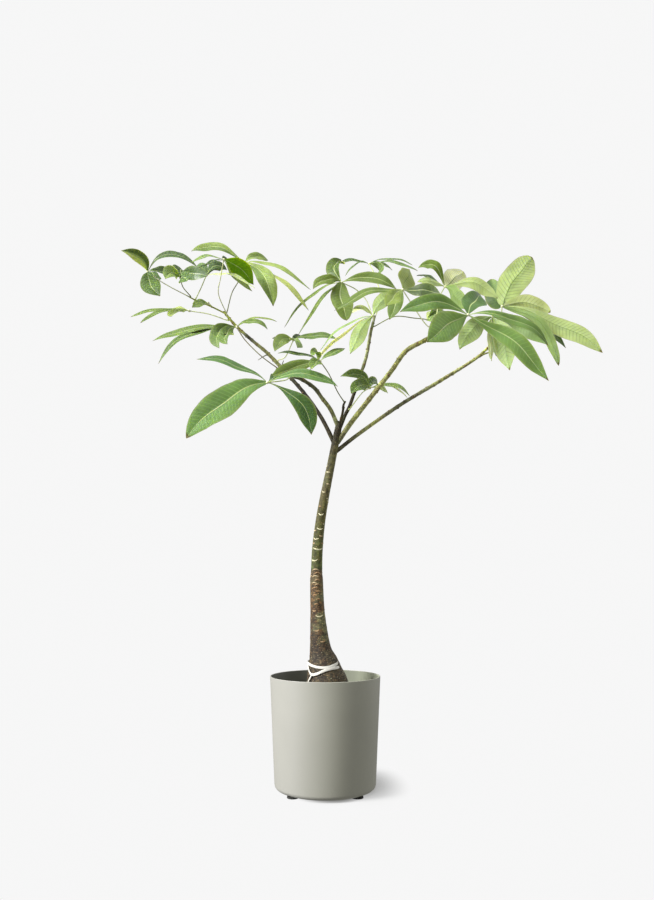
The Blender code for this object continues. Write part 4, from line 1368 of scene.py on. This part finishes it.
def petioleChain(leaf):
    hub = place(*leaf["hub"])
    bends = [place(*bend) for bend in leaf["petiole"]] + [hub]
    foot, outward = petioleFoot(*leaf["on"], bends[0])
    knee = foot + outward * leafPlan["petioleKnee"]
    route = smoothRoute([foot, knee] + bends, leafPlan["petioleSpans"])
    total = sum((after - before).length for before, after in zip(route, route[1:]))
    thin, flare = leafPlan["petioleReach"], leafPlan["petioleFlare"]
    tone = leaf.get("stalkTone", leafPlan["plainStalk"])
    chain = []
    gone = 0.0
    for index, point in enumerate(route[:-1]):
        if index:
            gone += (point - route[index - 1]).length
        reach = thin + (leafPlan["petioleFoot"] - thin) * math.exp(-gone / flare)
        if total - gone > flare:
            chain.append({"at": point, "reach": reach, "rough": 0.0, "tone": tone})
    ahead = (route[-1] - route[-3]).normalized()
    reach = leafPlan["hubReach"]
    for shift, share in hubOutline:
        at = hub + ahead * reach * shift
        chain.append({"at": at, "reach": reach * share, "rough": 0.0, "tone": leafPlan["hubTone"]})
    return chain


def growLeaf(name, leaf):
    hub = place(*leaf["hub"])
    warmth = leaf.get("warmth", leafPlan["plainWarmth"])
    chains = [bladeChain(hub, leaf["hub"][2], warmth, leaflet) for leaflet in leaf["leaflets"]]
    sizes = {key: leafPlan[key] for key in ("columns", "thickness", "puff", "ripple", "wander")}
    blades = chainMesh(name + "Midribs", chains)
    blades = grow(blades, bladeTree, **sizes, upper=upperMaterial, under=underMaterial)
    stalk = chainMesh(name + "Petiole", [petioleChain(leaf)])
    stalk = grow(stalk, stemTree, sides=leafPlan["petioleSides"], finish=stalkMaterial)
    whole = joined(name + "Mesh", [blades, stalk])
    finishPiece(name.replace("leaf_", "treeLeaf"), whole, name)


for name, leaf in leaves.items():
    growLeaf(name, leaf)
print("leaves grown:", len(leaves))


# Trunk and branches

# The trunk's height in centimetres, the age of its bark there and how rough it is
trunkAges = [
    (17.4, 0.0, 1.0), (33, 0.03, 1.0), (38, 0.14, 0.8), (44, 0.25, 0.6), (53.4, 0.36, 0.5),
    (54.2, 0.46, 0.2), (66, 0.50, 0.2), (74, 0.60, 0.3), (84, 0.62, 0.4), (91, 0.74, 0.4),
]

# Leaf scars seen on the trunk, as (height, turn from the front, width, sag, tone)
trunkScars = [
    (77.6, -20, 8, 1.0, 0.95),
    (74.8, 13, 6, 0.8, 0.75),
    (72.7, -24, 7, 1.0, 0.8),
    (71.4, 43, 3, 0.4, 0.85),
    (69.2, -35, 5, 0.8, 0.55),
    (67.3, -6, 9, 3.2, 1.0),
    (65.1, 44, 3, 0.4, 0.85),
    (63.8, 5, 11, 2.6, 0.95),
    (63.3, -60, 7, 1.2, 0.65),
    (62.1, 26, 7, 1.2, 0.7),
    (61.3, -28, 11, 2.4, 0.95),
    (60.4, 57, 6, 1.2, 0.6),
    (60.2, -50, 6, 1.0, 0.6),
    (58.9, 6, 20, 3.0, 1.0),
    (56.1, -28, 12, 2.6, 1.0),
    (53.8, -10, 13, -2.2, 0.6),
    (53.0, 12, 12, -2.0, 0.5),
    (52.2, -14, 13, -2.2, 0.65),
    (51.3, 8, 10, -1.6, 0.5),
    (50.6, -24, 9, -1.6, 0.6),
    (50.2, 6, 8, -1.4, 0.55),
    (49.4, -16, 9, -1.6, 0.5),
    (48.6, 10, 8, 1.4, 0.45),
    (47.6, -20, 8, -1.4, 0.5),
    (46.6, 14, 8, -1.4, 0.45),
    (45.4, -8, 7, -1.2, 0.5),
    (43.8, -26, 7, 1.2, 0.55),
    (42.5, 13, 14, 3.2, 0.9),
    (39.0, -12, 9, 1.6, 0.6),
    (36.3, 20, 10, 1.8, 0.55),
]

stemPlan = {
    "trunkSides": 44,
    "trunkSpans": 6,
    "branchSides": 20,
    "branchSpans": 12,
    "relief": 0.0030,
    "grain": 120.0,
    "branchRough": 0.12,
    "knots": 0.06,
    "knotGrain": 90.0,
    "scarSides": 8,
    "scarSteps": 10,
    "scarReach": 0.0020,
    "scarSunk": 0.45,  # a share of its reach
    "scarEnds": 0.2,
    "scarLevel": 0.4,
    "scarSize": 0.00135,  # one unit of width or sag, in metres
    "spiralStep": 2.05,
    "spiralTurn": 137.5,
    "spiralHeights": (40.0, 84.0),
    "spiralUnseen": 65,  # degrees from the front where the seen scars end
    "spiralSag": 2.0,
    "spiralVaries": ((9, 5), (0.75, 0.4)),  # width and tone, as (usual, spread)
    "spiralGrain": 3.7,
    "nodeSpacing": 0.026,
    "nodeSwell": 0.13,
    "nodeLength": 0.0035,
    "nodeTurn": -40,  # the first scar's, in degrees
    "firstNode": 0.35,  # a share of the branch
    "lastNode": 0.006,  # metres from its tip
    "nodeCrowding": (1.25, 0.7),
    "nodeScar": (0.006, 0.0010, 0.25),  # its width, sag and tone
    "stubLength": 0.04,
    "lenticelDensity": 24000.0,
    "lenticelSpacing": 0.0035,
    "lenticelRadius": 0.001,
    "lenticelTones": (0.2, 0.9),
    "lenticelSizes": ((0.5, 0.35, 0.3), (1.5, 0.8, 0.5)),
    "seed": 11,
}

trunkStations = stemStations(trunkRings, stemPlan["trunkSpans"])
trunkHeights = [station.z for station in trunkStations]


def trunkChain():
    chain = []
    for station in trunkStations:
        age, rough = tableAt(trunkAges, station.z / cm)
        chain.append({"at": station.to_3d(), "reach": station.w, "age": age, "rough": rough})
    return chain


# The swollen nodes of a branch, closer together toward its young end; a stub has none
def branchNodes(length):
    spots = []
    if length < stemPlan["stubLength"]:
        return spots
    wide, closing = stemPlan["nodeCrowding"]
    gone = stemPlan["firstNode"] * length
    while gone < length - stemPlan["lastNode"]:
        spots.append(gone)
        gone += stemPlan["nodeSpacing"] * (wide - closing * gone / length)
    return spots


def branchChain(branch):
    stations = stemStations(branch["points"], stemPlan["branchSpans"])
    steps = stationSteps(stations)
    nodes = branchNodes(steps[-1])
    chain = []
    for station, gone in zip(stations, steps):
        at = station.to_3d()
        swell = sum(math.exp(-((gone - node) / stemPlan["nodeLength"]) ** 2) for node in nodes)
        knot = stemPlan["knots"] * noise.noise(at * stemPlan["knotGrain"])
        knot += stemPlan["nodeSwell"] * min(swell, 1.0)
        age = tableAt(branch["ages"], gone / steps[-1])[0]
        rough = stemPlan["branchRough"]
        chain.append({"at": at, "reach": station.w * (1 + knot), "age": age, "rough": rough})
    return chain


# A crescent lying on the bark round a stem's station
def scarChain(station, direction, turn, width, sag, tone):
    plan = stemPlan
    front = Vector((0.0, -1.0, 0.0))
    front = (front - direction * front.dot(direction)).normalized()
    across = direction.cross(front)
    chain = []
    for step in range(plan["scarSteps"] + 1):
        share = 2 * step / plan["scarSteps"] - 1
        angle = turn + share * width / 2 / station.w
        outward = front * math.cos(angle) + across * math.sin(angle)
        reach = plan["scarReach"] * max(plan["scarEnds"], 1 - share ** 2) ** 0.5
        at = station.to_3d() + outward * (station.w - plan["scarSunk"] * reach)
        at += direction * sag * (share ** 2 - plan["scarLevel"])
        chain.append({"at": at, "reach": reach, "rough": 0.0, "tone": tone})
    return chain


# The scars seen on the trunk, a spiral of others where it isn't seen, and the branches' own
def allScars():
    rows = list(trunkScars)
    low, high = stemPlan["spiralHeights"]
    for index in range(int((high - low) / stemPlan["spiralStep"])):
        turn = (index * stemPlan["spiralTurn"]) % 360 - 180
        if abs(turn) > stemPlan["spiralUnseen"]:
            drift = noise.noise(Vector((index * stemPlan["spiralGrain"], 0.0, 0.0)))
            height = low + index * stemPlan["spiralStep"]
            width, tone = (usual + spread * drift for usual, spread in stemPlan["spiralVaries"])
            rows.append((height, turn, width, stemPlan["spiralSag"], tone))
    size = stemPlan["scarSize"]
    chains = []
    for height, turn, width, sag, tone in rows:
        spot = stationAt(trunkStations, trunkHeights, height * cm)
        chains.append(scarChain(*spot, math.radians(turn), width * size, sag * size, tone))
    for branch in branches.values():
        stations = stemStations(branch["points"], stemPlan["branchSpans"])
        steps = stationSteps(stations)
        for number, node in enumerate(branchNodes(steps[-1])):
            station, direction = stationAt(stations, steps, node)
            station.w *= 1 + stemPlan["nodeSwell"]
            turn = math.radians(number * stemPlan["spiralTurn"] + stemPlan["nodeTurn"])
            chains.append(scarChain(station, direction, turn, *stemPlan["nodeScar"]))
    return chains


# Lenticels: small pale warts scattered over the bark
def makeLenticelTree():
    tree, given = newTree("lenticels", {
        "density": "Float", "spacing": "Float", "radius": "Float", "seed": "Int",
        "finish": "Material",
    })
    spread = scattered(given["Geometry"], {
        "Distance Min": given["spacing"], "Density Max": given["density"],
        "Density Factor": readValue(tree, "rough"), "Seed": given["seed"],
    })
    low, high = stemPlan["lenticelTones"]
    tone = addNode(tree, "FunctionNodeRandomValue", {2: low, 3: high}).out(1)
    marked = storeValue(spread, "tone", tone)
    wires = {"Radius": given["radius"], "Subdivisions": 1}
    wart = addNode(tree, "GeometryNodeMeshIcoSphere", wires)
    size = randomVector(tree, *stemPlan["lenticelSizes"])
    return closeTree(copied(marked, wart, spread.out("Rotation"), size), given["finish"])


def makeTrunk():
    plan = stemPlan
    bark = {"relief": plan["relief"], "grain": plan["grain"], "finish": barkMaterial}
    trunk = chainMesh("trunkPath", [trunkChain()])
    trunk = grow(trunk, stemTree, sides=plan["trunkSides"], **bark)
    limbs = chainMesh("branchPaths", [branchChain(branch) for branch in branches.values()])
    limbs = grow(limbs, stemTree, sides=plan["branchSides"], **bark)
    scars = chainMesh("scarPaths", allScars())
    scars = grow(scars, stemTree, sides=plan["scarSides"], finish=scarMaterial)
    warts = grow(
        trunk.copy(), makeLenticelTree(), density=plan["lenticelDensity"],
        spacing=plan["lenticelSpacing"], radius=plan["lenticelRadius"], seed=plan["seed"],
        finish=scarMaterial,
    )
    whole = joined("trunkAndBranchesMesh", [trunk, limbs, scars, warts])
    finishPiece("trunkAndBranches", whole, "trunk_and_branches")


makeTrunk()
print("trunk and branches grown")


# Pot, feet and soil

potPlan = {
    "height": 0.279,
    "rimRadius": 0.135,
    "baseRadius": 0.1245,
    "wall": 0.003,
    "floor": 0.004,
    "edgeRound": 0.012,
    "sides": 160,
    "innerSteps": 8,
    "lipSteps": 10,
    "outerSteps": 12,
    "footRadius": 0.014,
    "footHeight": 0.004,
    "footEdge": 0.0008,
    "footSpread": 0.076,
    "footSides": 56,
    "footSteps": 4,
    "recessRadius": 0.080,
    "recessDepth": 0.0012,
    "gap": 0.0003,
    "sharpAngle": 40,
}


# A round body turned about an upright axis from a (radius, height) profile
def turned(name, profile, sides, *finishes, centre=(0.0, 0.0)):
    points = []
    for radius, height in profile:
        for corner in range(sides if radius else 1):
            turn = 2 * math.pi * corner / sides
            across = centre[0] + radius * math.cos(turn)
            points.append((across, centre[1] + radius * math.sin(turn), height))
    faces = []
    start = 0
    for (radius, _), (following, _) in zip(profile, profile[1:]):
        count = sides if radius else 1
        for corner in range(sides):
            after = (corner + 1) % sides
            low = [start + corner % count, start + after % count]
            high = [start + count + (step if following else 0) for step in (corner, after)]
            face = [low[0], high[0], high[1], low[1]]
            faces.append(tuple(dict.fromkeys(face)))  # three corners at the axis
        start += count
    return outwardMesh(name, points, faces, *finishes)


def arc(centreRadius, centreHeight, size, first, last, steps):
    turns = [math.radians(first + (last - first) * step / steps) for step in range(steps + 1)]
    return [
        (centreRadius + size * math.cos(turn), centreHeight + size * math.sin(turn))
        for turn in turns
    ]


def potOuter(height):
    share = (height - potPlan["edgeRound"]) / (potPlan["height"] - potPlan["edgeRound"])
    return potPlan["baseRadius"] + (potPlan["rimRadius"] - potPlan["baseRadius"]) * max(share, 0.0)


def makePot():
    p = potPlan
    underside = p["footHeight"] + p["gap"]
    recess = underside + p["recessDepth"]
    insideFloor = recess + p["floor"]
    insideRound = p["edgeRound"] - p["wall"]
    lip = p["wall"] / 2
    knee = p["baseRadius"] - p["edgeRound"]
    profile = [(0.0, insideFloor)]
    profile += arc(knee, insideFloor + insideRound, insideRound, -90, 0, p["innerSteps"])
    profile += arc(p["rimRadius"] - lip, p["height"] - lip, lip, 180, 0, p["lipSteps"])
    profile += arc(knee, underside + p["edgeRound"], p["edgeRound"], 0, -90, p["outerSteps"])
    profile += [(p["recessRadius"] + p["recessDepth"], underside)]
    profile += [(p["recessRadius"], recess), (0.0, recess)]
    mesh = turned("potMesh", profile, p["sides"], potMaterial, potInsideShadeAndLightMaterial)
    # The inside faces take the darker finish with its painted shade and painted light
    for face in mesh.polygons:
        height = face.center.z
        inner = potOuter(height) - p["wall"] + p["gap"]
        if height > insideFloor - p["gap"] and face.center.to_2d().length < inner:
            face.material_index = 1
    finishPiece("coverPot", mesh, "pot", p["sharpAngle"])


def makeFeet():
    p = potPlan
    edge, spread, steps = p["footEdge"], p["footSpread"], p["footSteps"]
    flat = p["footRadius"] - edge
    profile = [(0.0, 0.0)] + arc(flat, edge, edge, -90, 0, steps)
    profile += arc(flat, p["footHeight"] - edge, edge, 0, 90, steps) + [(0.0, p["footHeight"])]
    for deepName, deep in (("front", -spread), ("back", spread)):
        for sideName, across in (("left", -spread), ("right", spread)):
            mesh = turned("footMesh", profile, p["footSides"], footMaterial, centre=(across, deep))
            name = "foot" + deepName.title() + sideName.title()
            finishPiece(name, mesh, "foot_" + deepName + "_" + sideName, p["sharpAngle"])


soilPlan = {
    "top": 0.232,
    "rings": 40,
    "sides": 120,
    "edgeDrop": 0.004,
    "crown": 0.005,
    "crownRadius": 0.075,
    "lump": 0.0035,
    "lumpGrain": 55.0,
    "lumpsAbove": 0.01,  # metres below the top
    "lumpsFromEdge": 0.001,
    "trunkAt": (0.7, 23.0, 0),
    "chipSize": 0.0065,
    "chipSpacing": 0.004,
    "chipDensity": 20000.0,
    "chipsFromTrunk": 0.062,
    "chipsFromWall": 0.006,
    "chipsAbove": 0.008,  # metres below the top
    "chipsFlatFrom": 0.6,
    "chipNoise": (160.0, 1.0),
    "chipPush": 0.006,
    "chipTurns": ((-0.5, -0.5, 0.0), (0.5, 0.5, 6.28)),
    "chipShapes": ((0.35, 0.25, 0.14), (1.0, 0.6, 0.34)),
    "shapeSeed": 3,
    "seed": 7,
    "sharpAngle": 50,
}


# Bark chips scattered over the soil's top
def makeChipTree():
    plan = soilPlan
    tree, given = newTree("soilChips", {
        "spacing": "Float", "density": "Float", "seed": "Int", "chipSize": "Float",
        "finish": "Material",
    })
    up = axisOf(addNode(tree, "GeometryNodeInputNormal"), "Z")
    spots = scattered(given["Geometry"], {
        "Selection": up.maths("GREATER_THAN", plan["chipsFlatFrom"]), "Seed": given["seed"],
        "Distance Min": given["spacing"], "Density Max": given["density"],
    })
    wires = {"Radius": given["chipSize"], "Subdivisions": 2}
    chip = addNode(tree, "GeometryNodeMeshIcoSphere", wires)
    where = addNode(tree, "GeometryNodeInputPosition")
    wires = {0: noiseAt(where, *plan["chipNoise"]).out("Color"), 1: (0.5, 0.5, 0.5)}
    push = addNode(tree, "ShaderNodeVectorMath", wires, operation="SUBTRACT")
    chip = moved(chip, scaled(push, plan["chipPush"]))
    turn = randomVector(tree, *plan["chipTurns"])
    size = randomVector(tree, *plan["chipShapes"], plan["shapeSeed"])
    return closeTree(copied(spots, chip, turn, size), given["finish"])


def makeSoil():
    p, plan = potPlan, soilPlan
    low = p["footHeight"] + p["recessDepth"] + p["floor"] + 2 * p["gap"]
    edge = potOuter(plan["top"]) - p["wall"] - 2 * p["gap"]
    profile = [(0.0, low), (p["baseRadius"] - p["edgeRound"] - p["gap"], low)]
    inside = p["baseRadius"] - p["wall"] - 2 * p["gap"]
    profile.append((inside, low + (p["edgeRound"] - p["wall"])))
    for ring in range(plan["rings"] + 1):
        radius = edge * (1 - ring / plan["rings"])
        share = min(1.0, (edge - radius) / (edge - plan["crownRadius"]))
        profile.append((radius, plan["top"] - plan["edgeDrop"] + plan["crown"] * share))
    mesh = turned("soilMesh", profile, plan["sides"], soilMaterial)
    lowest, widest = plan["top"] - plan["lumpsAbove"], edge - plan["lumpsFromEdge"]
    for vertex in mesh.vertices:
        at = vertex.co
        if at.z > lowest and math.hypot(at.x, at.y) < widest:
            at.z += plan["lump"] * noise.noise(at * plan["lumpGrain"])

    # The chips lie only on the open top, clear of the trunk and the wall
    trunk = place(*plan["trunkAt"])
    lowest, widest = plan["top"] - plan["chipsAbove"], edge - plan["chipsFromWall"]
    work = bmesh.new()
    work.from_mesh(mesh)
    spare = []
    for face in work.faces:
        at = face.calc_center_median()
        byTrunk = (at - trunk).to_2d().length < plan["chipsFromTrunk"]
        if at.z < lowest or byTrunk or at.to_2d().length > widest:
            spare.append(face)
    bmesh.ops.delete(work, geom=spare, context="FACES")
    top = bpy.data.meshes.new("soilTop")
    work.to_mesh(top)
    work.free()
    chips = grow(
        top, makeChipTree(), spacing=plan["chipSpacing"], density=plan["chipDensity"],
        seed=plan["seed"], chipSize=plan["chipSize"], finish=chipMaterial,
    )
    whole = joined("soilWithChips", [mesh, chips])
    finishPiece("pottingSoil", whole, "soil", plan["sharpAngle"])


makePot()
makeFeet()
makeSoil()
print("pot, feet and soil made")


# The tie round the foot of the trunk

tiePlan = {
    "width": 0.0064,
    "thickness": 0.0013,
    "clearance": 0.0009,
    "overlap": 0.0003,
    "stepsPerSpan": 10,
    "sides": 12,
    "squareAcross": 0.4,  # smaller is squarer
    "squareOut": 0.7,
    # Each strand as (turn in degrees from the front, height in centimetres)
    "loopHigh": [(-74, 31.0), (0, 30.2), (69, 31.2), (110, 31.7), (180, 31.5), (250, 31.3)],
    "loopLow": [(-74, 30.8), (-43, 28.5), (14, 29.85), (85, 30.2), (180, 30.4), (250, 30.7)],
    "tail": [(-42, 28.7), (-54, 27.3), (-61, 26.2), (-66, 24.0)],
}


# The flat, softly rounded section of a strand, as (height, distance from the bark)
def tieSection():
    section = []
    for step in range(tiePlan["sides"]):
        turn = 2 * math.pi * step / tiePlan["sides"]
        across, out = math.cos(turn), math.sin(turn)
        across = math.copysign(abs(across) ** tiePlan["squareAcross"], across)
        out = math.copysign(abs(out) ** tiePlan["squareOut"], out)
        section.append((across * tiePlan["width"] / 2, (out + 1) / 2 * tiePlan["thickness"]))
    return section


# A strand lying on the bark, or on the strands below it
def strandMesh(name, closed, layer):
    points = [Vector((turn, height * cm, 0)) for turn, height in tiePlan[name]]
    if closed:
        points.append(Vector((points[0].x + 360, points[0].y, 0)))
    stations = smoothRoute(points, tiePlan["stepsPerSpan"])
    if closed:
        stations.pop()
    lift = layer * tiePlan["overlap"]
    corners = []
    for station in stations:
        turn = math.radians(station.x)
        outward = Vector((math.sin(turn), -math.cos(turn), 0))
        for rise, out in tieSection():
            height = station.y + rise
            bark = stationAt(trunkStations, trunkHeights, height)[0]
            reach = bark.w + tiePlan["clearance"] + lift + out
            corners.append(Vector((bark.x, bark.y, height)) + outward * reach)
    count, sides = len(stations), tiePlan["sides"]
    faces = []
    for ring in range(count if closed else count - 1):
        low, high = sides * ring, sides * ((ring + 1) % count)
        for corner in range(sides):
            after = (corner + 1) % sides
            faces.append((low + corner, low + after, high + after, high + corner))
    if not closed:
        faces.append(tuple(reversed(range(sides))))
        faces.append(tuple(sides * (count - 1) + corner for corner in range(sides)))
    return outwardMesh(name, corners, faces, tieMaterial)


strands = [
    strandMesh("loopHigh", True, 0),
    strandMesh("loopLow", True, 1),
    strandMesh("tail", False, 2),
]
finishPiece("trunkTie", joined("trunkTieMesh", strands), "tie")
print("tie made")


# Floor, light and background

studio = {
    "background": 0.927,
    "skyFill": 0.34,
    "suns": {
        "key": {"toward": (-0.76, -0.32, 0.57), "strength": 5.6, "softness": 22.0},
        "top": {"toward": (-0.12, -0.20, 1.0), "strength": 1.1, "softness": 40.0},
        "back": {"toward": (0.80, 0.45, 0.40), "strength": 0.7, "softness": 60.0},
    },
    "beside": {"centre": (0.10, 0.045), "squeeze": 0.5, "reach": (0.02, 0.12), "depth": 0.38},
    "under": {"centre": (0.02, -0.05), "squeeze": 1.0, "reach": (0.035, 0.10), "depth": 0.47},
    "floorRadius": 12.0,
    "floorDrop": 0.0004,
}


def addSun(name, toward, strength, softness):
    data = bpy.data.lights.new(name, "SUN")
    data.energy = strength
    data.angle = math.radians(softness)
    light = bpy.data.objects.new(name, data)
    light.rotation_euler = Vector(toward).to_track_quat("Z", "Y").to_euler()
    scene.collection.objects.link(light)


# What the floor would give back as plain white, out of every shadow
def openLight():
    total = studio["skyFill"]
    for sun in studio["suns"].values():
        total += sun["strength"] * Vector(sun["toward"]).normalized().z / math.pi
    return total


# A soft round mask on the floor, for one part of the shadow
def shadowMask(tree, centre, squeeze, reach, depth):
    wires = {
        "Vector": objectPlace(tree),
        "Location": (-centre[0], -centre[1] * squeeze, 0.0),
        "Scale": (1.0, squeeze, 1.0),
    }
    centred = addNode(tree, "ShaderNodeMapping", wires)
    away = addNode(tree, "ShaderNodeVectorMath", {0: centred}, operation="LENGTH").out("Value")
    wires = {0: away, 1: reach[0], 2: reach[1], 3: depth, 4: 0.0}
    return addNode(tree, "ShaderNodeMapRange", wires, interpolation_type="SMOOTHSTEP")


# The floor glows as brightly as the background, and takes shadows only round the pot
def makeFloor():
    constants = {"Roughness": 1.0, "Specular IOR Level": 0.0, "Emission Strength": 1.0}
    made, tree = newMaterial("paleFloor", constants)
    beside = shadowMask(tree, **studio["beside"])
    share = beside.maths("MAXIMUM", shadowMask(tree, **studio["under"]))
    glow = studio["background"] - share * openLight()
    shader = tree.nodes["Principled BSDF"]
    base = share.between((0, 0, 0, 1), (1, 1, 1, 1))
    tree.links.new(base.socket, shader.inputs["Base Color"])
    tree.links.new(glow.socket, shader.inputs["Emission Color"])
    profile = [(0.0, 0.0), (studio["floorRadius"], 0.0)]
    floor = bpy.data.objects.new("floor", turned("floorMesh", profile, 64, made))
    floor.location = (0.0, 0.0, -studio["floorDrop"])
    scene.collection.objects.link(floor)
    floor.visible_diffuse = False
    floor.visible_glossy = False


# The camera sees the plain background, and everything else a dimmer white sky
def makeSky():
    world = bpy.data.worlds.new("studio")
    world.use_nodes = True
    scene.world = world
    tree = world.node_tree
    level = studio["background"]
    seen = addNode(tree, "ShaderNodeBackground", {0: (level, level, level, 1.0), 1: 1.0})
    fill = tree.nodes["Background"]
    fill.inputs[0].default_value = (1.0, 1.0, 1.0, 1.0)
    fill.inputs[1].default_value = studio["skyFill"]
    rays = addNode(tree, "ShaderNodeLightPath").out("Is Camera Ray")
    wires = {0: rays, 1: Signal(tree, fill.outputs[0]), 2: seen}
    mixed = addNode(tree, "ShaderNodeMixShader", wires)
    tree.links.new(mixed.socket, tree.nodes["World Output"].inputs[0])


makeFloor()
makeSky()
for name, sun in studio["suns"].items():
    addSun(name + "Light", **sun)
scene.view_settings.view_transform = "Standard"
print("floor and light set")
